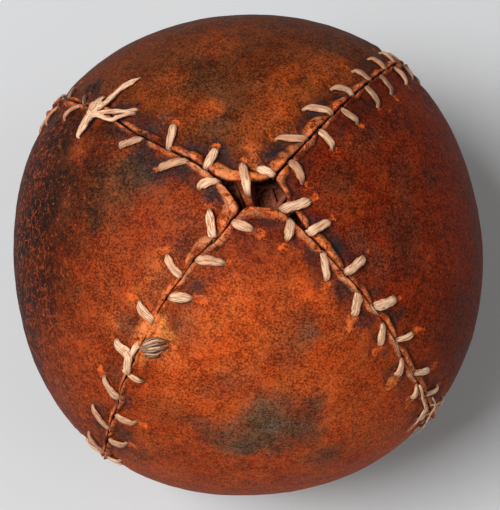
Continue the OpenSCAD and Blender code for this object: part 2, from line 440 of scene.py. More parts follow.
def lip_size(points, near, deg, side):
    """How broad and high the rolled edge is, as a share. It differs by seam and side, and is uneven."""
    size = np.ones(len(points))
    for k, seam in enumerate(SEAM_NAMES):
        for lips, way in zip(SEAMS[seam]["lips"], (1, -1)):
            here = (near == k) & (side * way >= 0)
            size[here] = eased_through(deg[here], lips)
    return size * (1.0 + 0.25 * soft_noise(points, 3.2, 7.0) + 0.15 * soft_noise(points, 1.3, 8.0))


def shut(near, deg):
    """How far the seam is worn shut, from 0 to 1."""
    return bump((deg - SHUT[0]) * ARC, SHUT[1]) * (near == SEAM_NAMES.index("sw"))


def lip_profile(e, height, edge):
    """Height of the leather's rolled edge at a distance e from the cut, which has a height of its own."""
    rise = np.sqrt(np.clip(1.0 - (1.0 - e / LIP_PEAK) ** 2, 0.0, 1.0))
    inner = edge + (height - edge) * rise
    t = np.clip((e - LIP_PEAK) / (LIP_W - LIP_PEAK), 0.0, 1.0)
    outer = height * (1.0 - t ** 2) ** 1.2
    return np.where(e < LIP_PEAK, inner, outer)


# Relief of the leather in millimetres: lumps on the lips and their least height, the crease and the valley
# beside them, the dimple at a hole, the puckers beyond it, and the fine unevenness
LUMPS = 0.2
LIP_LEAST = 0.12
CREASE = 0.34
VALLEY = 0.15
DIMPLE = 0.16
PUCKER = 0.12
FINE = 0.035


def leather_height(points, e, near, deg, side):
    """Height of the leather over the plain ball at each point."""
    press = pressing(near, deg, side)
    size = lip_size(points, near, deg, side) * (1.0 - PINCH * press)
    roll = e / size
    tall = LIP_H * np.sqrt(size) * (1.0 - PINCH * press) + LUMPS * cloudy(points, 2.4, 3, 11.0)
    tall += LUMPS * cloudy(points, 0.8, 2, 13.0)
    fade = 1.0 - 0.6 * step(deg, SEAM_REACH - 6.0, SEAM_REACH + 2.0)
    tall = np.maximum(tall * fade, LIP_LEAST)
    closed = shut(near, deg)
    lip = lip_profile(roll, tall, EDGE_H * (1.0 - closed) + SHUT_SHARE * tall * closed)
    crease = -CREASE * size * bump(roll - 1.35, 0.35)
    valley = -VALLEY * bump(e - 2.5, 1.4)
    away, beyond, beside, _ = hole_field(points)
    hole = -DIMPLE * (bump(away, 0.45) + bump(away, 1.5)) * (1.0 - 0.6 * step(deg, 42.0, 58.0))
    ridges = np.cos(beside * 4.2) * bump(beside, 1.6)
    pull = PUCKER * step(beyond, 0.4, 1.2) * bump(beyond - 1.6, 1.4) * ridges
    fine = FINE * cloudy(points, 1.3, 2, 23.0) * step(e, 0.1, 0.6)
    return ball_shape(points) + lip + crease + valley + hole + pull + fine


# The leather's edge: spacing of its points along the seams, rays over each tip, and steps round a seam's end
EDGE_PITCH = 0.3
TIP_RAYS = 110
TURN_STEPS = 22


def arm_points(seam, degs, sign, e):
    """Points along one side of a seam at a depth e from the leather's edge."""
    u = sign * (gap_half(seam, degs) + e) + wander(seam, degs)
    return on_seam(seam, degs, u)


def turn_points(seam, e):
    """Points round the seam's lower end."""
    angle = np.linspace(0, math.pi, TURN_STEPS)[1:-1]
    r = gap_half(seam, SEAM_REACH) + e
    u = -r * np.cos(angle) + wander(seam, SEAM_REACH)
    return on_seam(seam, SEAM_REACH + r * np.sin(angle) / ARC, u)


def flat_to_ball(x, y):
    """Points on the ball from a flat map round the X that keeps distances from its middle."""
    return BALL_R * direction(np.hypot(x, y) / BALL_R, np.arctan2(y, x))


def tip_rays(petal):
    """Rays that fan out over a petal's tip from a point inside it, and the edge distance along each."""
    a = math.radians(SEAMS[SEAM_NAMES[petal["from"]]]["bearing"])
    half = math.radians(middle_bearing(petal)) - a
    angle = np.linspace(a - math.pi / 2, a + 2 * half - 1.5 * math.pi, TIP_RAYS)[1:-1, None]
    t = np.arange(0.0, TIP_REACH * 1.3, 0.03)[None, :]
    x = TIP_REACH * math.cos(a + half) + t * np.cos(angle)
    y = TIP_REACH * math.sin(a + half) + t * np.sin(angle)
    e = edge_distance(flat_to_ball(x, y).reshape(-1, 3))[0].reshape(x.shape)
    return x, y, e


def tip_points(rays, e):
    """The first point on each ray that lies at a depth e."""
    x, y, depth = rays
    row = np.arange(len(x))
    after = np.argmax(depth <= e, axis=1)
    before = after - 1
    share = (depth[row, before] - e) / (depth[row, before] - depth[row, after])
    return flat_to_ball(x[row, before] + (x[row, after] - x[row, before]) * share,
                        y[row, before] + (y[row, after] - y[row, before]) * share)


def edge_rings(depths):
    """The leather's edge is one closed loop. This gives it at each depth, point for point."""
    rings = [[] for _ in depths]
    for petal in PETALS:
        first, second = SEAM_NAMES[petal["from"]], SEAM_NAMES[petal["to"]]
        half = math.radians(middle_bearing(petal) - SEAMS[first]["bearing"])
        start = TIP_REACH * math.cos(half) / ARC
        degs = np.linspace(start, SEAM_REACH, int((SEAM_REACH - start) * ARC / EDGE_PITCH))
        rays = tip_rays(petal)
        for ring, e in zip(rings, depths):
            ring += [arm_points(first, degs[::-1], 1, e), tip_points(rays, e),
                     arm_points(second, degs, -1, e), turn_points(second, e)]
    return [np.concatenate(ring) for ring in rings]


def spread_points(spacing):
    """Evenly spread points over the ball."""
    count = int(4 * math.pi * BALL_R ** 2 / (spacing ** 2 * 0.866))
    i = np.arange(count) + 0.5
    z = 1.0 - 2.0 * i / count
    turn = math.pi * (1.0 + math.sqrt(5.0)) * i
    r = np.sqrt(1.0 - z ** 2)
    return BALL_R * np.stack([r * np.cos(turn), r * np.sin(turn), z], axis=1)


def fill_inside(loop, fill):
    """Triangles that fill the loop's inside on the ball, through the fill points."""
    unit = unit_of(np.concatenate([loop, fill]))
    flat = unit[:, :2] / (1.0 - unit[:, 2:3])
    n = len(loop)
    edges = [(i, (i + 1) % n) for i in range(n)]
    result = delaunay_2d_cdt([Vector(p) for p in flat], edges, [], 1, 1e-9)
    source = [o[0] for o in result[3]]
    return [tuple(source[i] for i in face) for face in result[2]]


# The rings of the rolled edge, by distance from the cut
RING_DEPTHS = [0.0, 0.03, 0.09, 0.18, 0.3, 0.45, 0.62, 0.82, 1.04, 1.28, 1.52, 1.72, 1.92, 2.15]
# The lips overhang: the inner face ends under this ring
OVERHANG = 7
# Points inside the rings, by distance from the edge: least, most and spacing, and a margin at the rings
FILL_ZONES = [(2.15, 4.8, 0.4), (4.8, 8.5, 0.75), (8.5, FAR, 1.35)]
FILL_MARGIN = 0.25
# Points of the inner face: spacing, and least distance from the edge
LINING_SPACING = 4.0
LINING_MARGIN = 2.0


def fill_points():
    """Points that fill the outer face, closer together near its edge."""
    kept = []
    for low, high, spacing in FILL_ZONES:
        spread = spread_points(spacing)
        e = edge_distance(spread)[0]
        margin = FILL_MARGIN if low == RING_DEPTHS[-1] else 0.0
        kept.append(spread[(e > low + margin) & (e <= high)])
    return np.concatenate(kept)


def ring_faces(first, second, n):
    """Faces between two rings of n points, given where each ring starts."""
    return [(first + i, first + (i + 1) % n, second + (i + 1) % n, second + i) for i in range(n)]


def tucked_in(ring, petal):
    """How far each point of the edge belongs to the corner that is tucked in, from 0 to 1."""
    away = np.hypot(ring[:, 0] - TUCK_AT[0], ring[:, 1] - TUCK_AT[1])
    return step(away, 1.3 * TUCK_W, 0.6 * TUCK_W) * (petal == NORTH) * (ring[:, 2] > 0)


def inner_share(points):
    """How far in the leather's inner face lies, as a share of the plain ball's radius."""
    return ((BALL_R - LEATHER_T + ball_shape(points)) / BALL_R)[:, None]


def build_cover():
    """The leather as one closed shell: rolled edge, outer face, cut edge and inner face."""
    rings = edge_rings(RING_DEPTHS)
    edge = rings[0]
    n = len(edge)
    fill = fill_points()
    outer = np.concatenate(rings + [fill])
    e, near, deg, side = edge_distance(outer)
    for k, depth in enumerate(RING_DEPTHS):
        e[k * n:(k + 1) * n] = depth
    skin = outer * (1.0 + leather_height(outer, e, near, deg, side) / BALL_R)[:, None]

    tuck = tucked_in(edge, petal_of(near[:n], side[:n]))
    under = rings[OVERHANG] + (edge - rings[OVERHANG]) * tuck[:, None]
    under *= inner_share(edge)
    under[:, 0] += tuck * TUCK_LENGTH * math.cos(math.radians(TUCK_BEARING))
    under[:, 1] += tuck * TUCK_LENGTH * math.sin(math.radians(TUCK_BEARING))
    half = (skin[:n] + under) / 2
    lining = spread_points(LINING_SPACING)
    lining = lining[edge_distance(lining)[0] > LINING_MARGIN]
    points = np.concatenate([skin, half, under, lining * inner_share(lining)])
    points[:, 2] = np.maximum(points[:, 2], REST_Z)

    faces = []
    for k in range(len(rings) - 1):
        faces += ring_faces(k * n, (k + 1) * n, n)
    last, base = (len(rings) - 1) * n, len(skin)
    faces += [tuple(i + last for i in face) for face in fill_inside(rings[-1], fill)]
    faces += ring_faces(base, 0, n) + ring_faces(base + n, base, n)
    faces += [tuple(base + n + i for i in reversed(face)) for face in fill_inside(edge, lining)]

    mesh = new_mesh("cover_leather", points, faces)
    fields = outer_fields(outer, e, near, deg, side)
    for name, values in cover_marks(fields, tuck, len(points)).items():
        add_mark(mesh, name, values)
    return add_piece("cover_leather", mesh, leather_material())


# Colours of the petals, as they look
PETAL_COLOURS = {"north": colour(98, 45, 21), "west": colour(133, 52, 23), "south": colour(171, 70, 30),
                 "east": colour(114, 37, 13)}
UNDERSIDE = colour(140, 62, 32)
# How the painted shade at the rim tints the leather
RIM_SHADE_TINT = np.array([0.74, 0.76, 0.8])
# Stains, and some spots of painted shade as noted, as [bearing, degrees from the X, size in degrees,
# strength], by colour
STAINS_AND_SHADE = [
    # Blue-black: stains, and painted shadow in the valleys beside the lips and under the south tip's lip
    (colour(44, 38, 42), [
        (155, 28, 3, 0.8), (155, 17, 3, 0.8), (139, 12, 2.5, 0.7), (173, 24, 6, 0.75),
        (191, 9.5, 3.4, 0.85), (237, 53, 3, 0.45), (168, 17, 3.8, 0.8), (148, 27, 3, 0.75),
        (171, 26, 5, 0.6), (160, 34, 2.5, 0.7), (152, 40, 2.5, 0.6), (141, 14, 3, 0.4),
        (240, 65, 3, 0.7), (244, 57, 2.5, 0.7), (325, 17, 3.5, 0.8), (323, 27, 3.5, 0.8),
        (322, 35, 2.5, 0.7), (64, 11, 2.5, 0.8), (64, 22, 2.5, 0.8), (64, 32, 2.2, 0.7),
        (330, 41, 2.5, 0.7), (284, 6.5, 3.2, 0.9), (300, 8, 2.5, 0.6), (245, 40, 2.6, 0.35),
        (149, 55, 3, 0.8), (163, 26, 3, 0.7), (172, 28, 4, 0.6), (157, 39, 3, 0.6), (337, 20, 2.8, 0.65),
        (332, 33, 2, 0.6), (172, 21, 4, 0.55), (334, 42, 2.2, 0.7)]),
    (colour(62, 47, 48), [
        (232, 30, 3, 0.3), (225, 19, 3, 0.3), (240, 14, 2.5, 0.6), (246, 23, 3, 0.6), (343, 24, 4, 0.2),
        (288, 53, 4.5, 0.5), (293, 53, 4.5, 0.5), (297, 50, 3.5, 0.5), (267, 57, 3, 0.45),
        (299, 66, 2.2, 0.6)]),
    (colour(72, 47, 33), [
        (121, 33, 9, 0.5), (116, 24, 7, 0.5), (130, 18, 5, 0.5), (186, 25, 5, 0.4), (74, 47, 5, 0.5),
        (138, 37, 4, 0.2), (182, 33, 9, 0.75), (156, 66, 6, 0.6), (165, 58, 7, 0.5), (172, 50, 9, 0.65),
        (186, 47, 9, 0.55)]),
    # Dark brown: stains, and those on the west rim, at bearings 178 to 214, are painted shade
    (colour(62, 34, 27), [
        (190, 62, 9, 0.65), (178, 56, 8, 0.5), (214, 75, 10, 0.6), (22, 43, 5, 0.6), (359, 33, 7, 0.6),
        (350, 37, 6, 0.5), (21, 18, 5, 0.5), (341, 60, 10, 0.3), (37, 28, 6, 0.4), (22, 35, 6, 0.5),
        (56, 38, 5, 0.35), (187, 20, 4, 0.3), (42, 42, 5, 0.35), (48, 31, 8, 0.3)]),
    # Near black: painted shade over the west side towards its rim, and a stain by the north-west seam
    (colour(34, 18, 13), [
        (164, 53, 9, 0.75), (182, 52, 9, 0.65), (195, 54, 10, 0.7), (209, 59, 9, 0.55),
        (190, 76, 12, 0.75), (207, 79, 12, 0.75), (141, 14, 2.5, 0.5), (173, 68, 10, 0.65),
        (221, 82, 9, 0.6), (187, 40, 6, 0.25), (169, 39, 7, 0.6), (176, 44, 6, 0.45), (199, 45, 7, 0.5),
        (192, 44, 6, 0.35), (209, 50, 6, 0.3), (174, 58, 6, 0.4)]),
    (colour(104, 48, 28), [
        (260, 67, 11, 0.3), (247, 71, 9, 0.6), (254, 53, 6, 0.4)]),
    (colour(232, 140, 76), [
        (241, 37.5, 3, 0.85), (245, 36, 3, 0.5), (241, 34, 2.2, 0.8), (242, 44, 2.2, 0.4)]),
    (colour(206, 100, 52), [
        (99, 7.5, 3.2, 0.55), (111, 10, 2, 0.4), (229, 42, 4, 0.4), (242, 45, 2.5, 0.4),
        (250, 41, 4, 0.5), (234, 28, 4, 0.4), (248, 29, 3.5, 0.4), (226, 26, 4, 0.3)]),
    (colour(70, 70, 62), [
        (281, 51, 5.5, 0.8), (281, 56, 6.5, 0.75), (285, 60, 5, 0.6), (288, 55, 6.5, 0.6),
        (276, 52, 5, 0.5), (276, 60, 4.5, 0.4), (272, 40, 5, 0.2)]),
    (colour(112, 40, 20), [
        (294, 10, 8, 0.65), (270, 9, 6, 0.55), (312, 17, 6, 0.35), (262, 13, 6, 0.4),
        (309, 36, 10, 0.25), (307, 50, 8, 0.25), (308, 11, 4, 0.6), (255, 11, 4, 0.35),
        (247, 18, 4, 0.35), (299, 16, 5, 0.55), (285, 19, 8, 0.35)]),
    (colour(92, 62, 50), [
        (296, 66, 6, 0.6), (268, 55, 4, 0.5), (302, 32, 3, 0.7), (250, 32, 4.5, 0.4),
        (233, 40, 4.5, 0.5), (248, 68, 3, 0.6), (294, 33, 6, 0.4), (293, 57, 6, 0.75),
        (295, 49, 4.5, 0.65), (298, 67, 3, 0.6), (277, 60, 4, 0.5), (267, 43, 5, 0.3),
        (343, 29, 5, 0.35), (346, 23, 4, 0.3)]),
    (colour(176, 78, 34), [
        (131, 35, 5, 0.5), (126, 22, 3, 0.6), (81, 23, 8, 0.3), (71, 38, 8, 0.4), (97, 15, 6, 0.25),
        (169, 46, 5, 0.3), (210, 51, 4, 0.25), (42, 24, 4, 0.15), (267, 27, 9, 0.5), (80, 18, 5, 0.35),
        (140, 25, 6, 0.3), (228, 33, 5, 0.4), (231, 54, 5, 0.4), (309, 61, 8, 0.5), (140, 34, 6, 0.2),
        (112, 42, 7, 0.25), (87, 31, 5, 0.2), (5, 21, 5, 0.12), (287, 43, 3, 0.4)]),
]

# Where the lips are rubbed bright: bearing, degrees from the X, size in degrees
RUBBED = [(157, 7, 4.5), (100, 4, 4), (61, 10, 4), (240, 38, 5), (334, 16, 2.2), (331, 28, 2.5),
          (328, 38, 2.5), (327, 47, 2)]
# Where the lips are grimed over
DULLED = [(288, 6, 3.2), (326, 14, 2.2)]
# How far the cut edge shows its own colour, as a share
CUT_SHARE = 0.35
# Degrees from a petal's middle at which its colour has gone, and is full
PETAL_BLEND = (52.0, 40.0)


def degrees_from(unit, bearing, deg):
    """Angles between points on the unit ball and a place on it."""
    centre = direction(math.radians(deg), math.radians(bearing))
    return np.degrees(np.arccos(np.clip(unit @ centre, -1, 1)))


def petal_weights(bearing):
    """How far each point belongs to each petal, blended across the seams."""
    weights = []
    for petal in PETALS:
        off = np.abs((bearing - middle_bearing(petal) + 180.0) % 360.0 - 180.0)
        weights.append(step(off, *PETAL_BLEND))
    weights = np.array(weights) + 1e-3
    return weights / weights.sum(axis=0)


def outer_fields(points, e, near, deg, side):
    """What the marks are worked out from, at each point of the leather's outer face."""
    f = SimpleNamespace(points=points, e=e, near=near, deg=deg, side=side, unit=unit_of(points))
    f.bearing = np.degrees(bearing_of(f.unit))
    f.polar = polar_of(f.unit)
    f.petals = petal_weights(f.bearing)
    f.patches = step(cloudy(points, 4.5, 3, 51.0), -0.1, 0.4)
    f.press = pressing(near, deg, side)
    f.lip = lip_size(points, near, deg, side)
    f.roll = e / (f.lip * (1.0 - PINCH * f.press))
    f.away, f.beyond, f.beside, f.tears = hole_field(points)
    f.badly_torn = step(f.tears, 0.9, 1.4)
    return f


def stained_and_shaded(base, f):
    """A colour with the stains and spots of painted shade laid over it, ragged at their edges."""
    ragged = 1.0 + 0.5 * cloudy(f.points, 3.5, 3, 35.0)
    for tone, spots in STAINS_AND_SHADE:
        for bearing, deg, size, strength in spots:
            off = degrees_from(f.unit, bearing, deg)
            amount = (strength * step(off * ragged, size * 1.15, size * 0.3))[:, None]
            base = base * (1.0 - amount) + tone * amount
    return base


def base_colour(f):
    """The colour before the grain: petals and stains, with painted shade low on the ball towards the rim,
    heaviest on the west, and painted crease shade beside the lips.
    """
    base = sum(w[:, None] * PETAL_COLOURS[p["name"]] for w, p in zip(f.petals, PETALS))
    under = step(f.polar, 95.0, 150.0)[:, None]
    base = base * (1.0 - under) + UNDERSIDE * under
    base = base * np.clip(1.0 + 0.14 * cloudy(f.points, 9.0, 3, 31.0), 0.4, 1.7)[:, None]
    base = stained_and_shaded(base, f)
    # Painted shade: the leather darkens towards the rim, less on the south petal
    rim_shade = step(f.polar, 50.0, 78.0)[:, None]
    base = base * (1.0 - rim_shade * (1.0 - 0.8 * f.petals[SOUTH])[:, None] * (1.0 - RIM_SHADE_TINT))
    # Painted shade, deeper still, over the west rim
    west_rim_shade = f.petals[WEST] * step(f.polar, 38.0, 56.0) * step(f.bearing % 360.0, 228.0, 206.0)
    base = base * (1.0 - (0.62 + 0.14 * step(f.polar, 56.0, 70.0)) * west_rim_shade)[:, None]
    # Painted crease shade beside the lips, patchy
    return base * (1.0 - 0.3 * bump(f.e - 2.0, 1.5) * (0.4 + 0.6 * f.patches))[:, None]


def wear_mark(f):
    """Where the grain is worn off the lips, apart from dulled places and under the strands."""
    lumps = cloudy(f.points, 2.4, 3, 41.0)
    wear = step(f.e, 0.03, 0.15) * step(f.roll, 1.1, 0.8) * step(lumps, -0.8, -0.2)
    wear = wear * (1.0 - 0.75 * f.press)
    for bearing, deg, size in DULLED:
        wear = wear * (1.0 - 0.5 * bump(degrees_from(f.unit, bearing, deg), size))
    return np.maximum(wear, shut(f.near, f.deg) * step(f.e, 2.3, 0.8))


def soil_and_shade_mark(f):
    """Dirt and painted shade in the creases beside the lips, painted shadow on the lips where the strands
    press them down, and dirt round torn holes.
    """
    soil = step(f.roll, 0.9, 1.15) * step(f.roll, 2.1, 1.5) * (0.65 + 0.35 * f.patches)
    # Painted shadow where each strand presses the lip down
    soil = np.maximum(soil, 0.9 * step(f.press, 0.25, 0.6) * step(f.roll, 1.6, 1.0))
    soil = np.maximum(soil, 0.85 * f.patches * bump(f.e - 2.0, 0.9)) * np.clip(1.6 * f.lip - 0.5, 0.3, 1.0)
    soil = soil * (1.0 - 0.5 * step(f.polar, 70.0, 100.0))
    soil = soil * np.array([SEAMS[seam]["dirt"] for seam in SEAM_NAMES])[f.near]
    at_holes = 0.9 * bump(f.away - 1.3, 0.9) * step(f.tears, 0.55, 1.0)
    return np.maximum(soil, at_holes * (0.4 + 0.6 * f.patches))


def tear_mark(f):
    """Ragged torn leather, drawn out from each hole away from its seam."""
    ragged = 0.5 * cloudy(f.points, 1.1, 3, 61.0)
    streak = step(f.beyond, -0.5, 0.0) * bump(f.beside + 0.5 * ragged, 0.58 + 0.4 * f.badly_torn)
    length = (1.6 + 1.0 * soft_noise(f.points, 7.0, 63.0)) * f.tears
    fade = step(f.beyond + ragged, length + 0.9, length)
    return streak * fade * np.minimum(0.35 + 0.7 * f.tears, 1.0)


def rub_mark(f, tear):
    """Where the lips and the worst tears are rubbed bright."""
    rub = np.zeros(len(f.points))
    for bearing, deg, size in RUBBED:
        rub = np.maximum(rub, bump(degrees_from(f.unit, bearing, deg), size))
    return np.maximum(rub, tear * f.badly_torn)


def leather_marks(f):
    """Colour and wear masks for the leather's outer face, with masks of painted shade and painted glints."""
    tear = tear_mark(f)
    crackle = step(f.polar, 48.0, 62.0) * f.petals[WEST] * (1.0 - 0.7 * step(f.polar, 75.0, 105.0))
    pale = 0.5 + 0.5 * (f.petals[WEST] + f.petals[SOUTH]) * step(f.polar, 18.0, 8.0)
    pale = np.maximum(pale, 0.9 * (f.near == SEAM_NAMES.index("se")) * (f.side < 0))
    # Bright flecks: some are the grain's own, and more on the west and north petals are painted glints
    fleck_and_glint = f.petals[WEST] * step(f.polar, 20.0, 34.0)
    fleck_and_glint = fleck_and_glint + 0.6 * f.petals[NORTH] * step(f.bearing, 115.0, 140.0)
    return {"base": base_colour(f), "contrast": sum(w * p["contrast"] for w, p in zip(f.petals, PETALS)),
            "wear": np.clip(wear_mark(f), 0, 1), "soil": np.clip(soil_and_shade_mark(f), 0, 1),
            # Painted shade in the stitch holes
            "tear": np.clip(tear, 0, 1), "hole_shade": bump(f.away, 0.42), "crackle": crackle,
            "fleck_and_glint": 0.15 + 0.85 * np.clip(fleck_and_glint, 0, 1), "rub": rub_mark(f, tear), "pale": pale}


def cover_marks(f, tuck, count):
    """The marks of all the cover's points: outer face, half way down the cut edge, and inner face."""
    n, base = len(tuck), len(f.e)
    marks = leather_marks(f)
    marks["cut"] = CUT_SHARE * step(0.05 - f.e, -0.05, 0.05) * (1.0 - shut(f.near, f.deg))
    # The deep mark is painted shade down the cut edge into the seam, darkest at its foot, slight at its top,
    # and less on the tucked-in corner
    marks["deep"] = np.zeros(base)
    for name, values in marks.items():
        inner = np.repeat(values[:1] * 0.0, count - base - n, axis=0)
        marks[name] = np.concatenate([values, values[:n], inner])
    half = slice(base, base + n)
    marks["wear"][half] = 0.9
    marks["cut"][half] = CUT_SHARE
    marks["cut"][base + n:] = 1.0
    marks["deep"][:n] = 0.15 * (1.0 - shut(f.near[:n], f.deg[:n]))
    marks["deep"][half] = 0.75 - 0.5 * tuck
    marks["deep"][base + n:base + 2 * n] = 1.0 - 0.5 * tuck
    return marks


# Meshes

def new_mesh(name, points, faces):
    mesh = bpy.data.meshes.new(name)
    mesh.from_pydata((np.asarray(points) * MM).tolist(), [], faces)
    mesh.polygons.foreach_set("use_smooth", [True] * len(mesh.polygons))
    mesh.update()
    return mesh


def add_mark(mesh, name, values):
    """A number, or a colour or vector of three, for each point of a mesh."""
    values = np.asarray(values, float)
    kind = "FLOAT" if values.ndim == 1 else "FLOAT_VECTOR"
    mark = mesh.attributes.new(name, kind, "POINT")
    mark.data.foreach_set("value" if values.ndim == 1 else "vector", values.ravel())


def add_object(name, data):
    """A new object in the scene."""
    made = bpy.data.objects.new(name, data)
    bpy.context.scene.collection.objects.link(made)
    return made


def add_piece(name, mesh, material):
    mesh.materials.append(material)
    return add_object(name, mesh)


# Materials

CELL_EDGES = "DISTANCE_TO_EDGE"


class Shader:
    """A small helper that builds a node material."""

    def __init__(self, name):
        self.material = bpy.data.materials.new(name)
        self.material.use_nodes = True
        self.tree = self.material.node_tree
        self.surface = self.tree.nodes["Principled BSDF"]

    def node(self, kind, out=0, **inputs):
        """A new node's output. Inputs are named by socket, with _ for a space, or in_N by number."""
        node = self.tree.nodes.new(kind)
        for key, value in inputs.items():
            if key.startswith("set_"):
                setattr(node, key[4:], value)
        for key, value in inputs.items():
            if not key.startswith("set_"):
                name = int(key[3:]) if key.startswith("in_") else key.replace("_", " ")
                self.put(node.inputs[name], value)
        return node.outputs[out]

    def put(self, socket, value):
        if isinstance(value, bpy.types.NodeSocket):
            self.tree.links.new(value, socket)
        elif socket.type == "RGBA":
            socket.default_value = (*value[:3], 1.0)
        else:
            socket.default_value = value

    def mark(self, name, out="Fac"):
        node = self.tree.nodes.new("ShaderNodeAttribute")
        node.attribute_name = name
        return node.outputs[out]

    def coords(self):
        """Coordinates in the piece's own frame."""
        return self.node("ShaderNodeTexCoord", out=3)

    def math(self, kind, a, b=0.0, c=0.0):
        return self.node("ShaderNodeMath", set_operation=kind, in_0=a, in_1=b, in_2=c)

    def times(self, a, b):
        return self.math("MULTIPLY", a, b)

    def ramp(self, value, low, high, to_low=0.0, to_high=1.0):
        return self.node("ShaderNodeMapRange", Value=value, From_Min=low, From_Max=high, To_Min=to_low,
                         To_Max=to_high)

    def mix(self, amount, a, b, blend="MIX"):
        node = self.tree.nodes.new("ShaderNodeMix")
        node.data_type = "RGBA"
        node.blend_type = blend
        self.put(node.inputs[0], amount)
        self.put(node.inputs[6], a)
        self.put(node.inputs[7], b)
        return node.outputs[2]

    def tint(self, tone, by):
        return self.mix(1.0, tone, by, "MULTIPLY")

    def noise(self, where, size_mm, detail=3.0, rough=0.55):
        return self.node("ShaderNodeTexNoise", Vector=where, Scale=1.0 / (size_mm * MM), Detail=detail,
                         Roughness=rough)

    def cells(self, where, size_mm, feature="F1"):
        return self.node("ShaderNodeTexVoronoi", set_feature=feature, Vector=where,
                         Scale=1.0 / (size_mm * MM))

    def cracks(self, where, size_mm, width):
        """Lines between cells, 1 in their middle."""
        return self.ramp(self.cells(where, size_mm, CELL_EDGES), 0.0, width, 1.0, 0.0)

    def weigh(self, parts):
        """A weighted sum of textures, shifted so that their middle value gives 0."""
        total = -0.5 * sum(weight for _, weight in parts)
        for texture, weight in parts:
            total = self.math("MULTIPLY_ADD", texture, weight, total)
        return total

    def patchy(self, parts, low, high, to_low=0.0, to_high=1.0):
        return self.ramp(self.weigh(parts), low, high, to_low, to_high)

    def set(self, **inputs):
        for key, value in inputs.items():
            self.put(self.surface.inputs[key.replace("_", " ")], value)

    def bumps(self, layers):
        """Bump layers as (height, strength, depth in millimetres), one over the other."""
        normal = None
        for height, strength, depth in layers:
            node = self.tree.nodes.new("ShaderNodeBump")
            node.inputs["Strength"].default_value = strength
            node.inputs["Distance"].default_value = depth * MM
            self.put(node.inputs["Height"], height)
            if normal is not None:
                self.tree.links.new(normal, node.inputs["Normal"])
            normal = node.outputs["Normal"]
        self.tree.links.new(normal, self.surface.inputs["Normal"])


def leather_textures(s):
    """The patterns that the leather's colour and relief are made from."""
    t = SimpleNamespace(where=s.coords())
    t.grain = s.cells(t.where, 0.46)
    t.speck = s.noise(t.where, 0.26, 2.0, 0.7)
    t.mid = s.noise(t.where, 1.0, 3.0, 0.6)
    t.cloud = s.noise(t.where, 3.0, 5.0, 0.65)
    t.patch = s.noise(t.where, 8.0, 4.0, 0.6)
    elsewhere = s.node("ShaderNodeVectorMath", set_operation="ADD", in_0=t.where, in_1=(0.2, 0.1, 0.3))
    t.hue = s.noise(elsewhere, 4.0, 4.0)
    wobble = s.node("ShaderNodeTexNoise", out=1, Vector=t.where, Scale=700.0, Detail=2.0)
    t.bent = s.node("ShaderNodeVectorMath", set_operation="MULTIPLY_ADD", in_0=wobble, in_1=(0.0012,) * 3,
                    in_2=t.where)
    t.line = s.times(s.cracks(t.bent, 1.7, 0.07), s.ramp(t.mid, 0.4, 0.55))
    return t


def leather_face(s, t):
    """The grain side: its petal's colour, mottled, lined and crackled, with bright flecks that are partly
    painted glints, and the soil and painted crease shade on it.
    """
    pattern = s.weigh([(t.speck, 2.9), (t.grain, -0.3), (t.mid, 1.05), (t.cloud, 1.0), (t.patch, 0.5)])
    level = s.math("MULTIPLY_ADD", pattern, s.mark("contrast"), 0.5)
    tone = s.tint(s.mark("base", "Vector"), s.mix(level, (0.43, 0.35, 0.265), (1.54, 1.65, 1.42)))
    tone = s.tint(tone, s.mix(s.ramp(t.hue, 0.35, 0.65), (1.0, 0.83, 0.68), (1.0, 1.1, 1.1)))
    tone = s.mix(s.times(t.line, 0.25), tone, s.tint(tone, (0.3, 0.26, 0.25)))
    scratch = s.times(s.cracks(t.bent, 1.0, 0.09), s.ramp(t.mid, 0.42, 0.6))
    tone = s.mix(s.times(scratch, s.mark("crackle")), tone, colour(166, 70, 32))
    # Bright orange flecks, partly painted glints
    fleck_and_glint = s.ramp(s.noise(t.where, 0.55, 4.0, 0.65), 0.56, 0.66, 0.0, 0.7)
    fleck_and_glint = s.times(fleck_and_glint, s.ramp(t.cloud, 0.42, 0.6, 0.25, 1.0))
    tone = s.mix(s.times(fleck_and_glint, s.mark("fleck_and_glint")), tone, colour(180, 76, 30))
    # Soil: dirt, and painted shade in the creases beside the lips and beside the strands
    soil = s.times(s.mark("soil"), s.patchy([(t.cloud, 1.0), (t.mid, 1.0)], -0.28, 0.1))
    return s.mix(soil, tone, colour(40, 32, 34))


def leather_bare(s, t, rubbed):
    """Where the grain is worn off: raw leather, paler here and there, with dark lines and bright spots."""
    light = s.patchy([(t.speck, 1.4), (t.mid, 1.0)], -0.2, 0.13)
    bare = s.mix(light, colour(98, 38, 16), colour(230, 110, 48))
    pale = s.times(s.mark("pale"), s.patchy([(t.hue, 1.0), (t.mid, 0.9)], -0.1, 0.12, 0.0, 0.85))
    bare = s.mix(pale, bare, colour(206, 142, 104))
    bare = s.mix(s.times(t.line, 0.8), bare, colour(60, 26, 14))
    return s.mix(rubbed, bare, colour(242, 132, 66))


def leather_torn(s, t, rubbed):
    """Where the holes are torn: raw orange, brighter where it is rubbed."""
    light = s.patchy([(t.speck, 1.0), (t.mid, 1.0)], -0.2, 0.12)
    return s.mix(rubbed, s.mix(light, colour(130, 46, 16), colour(226, 100, 38)), colour(250, 146, 76))


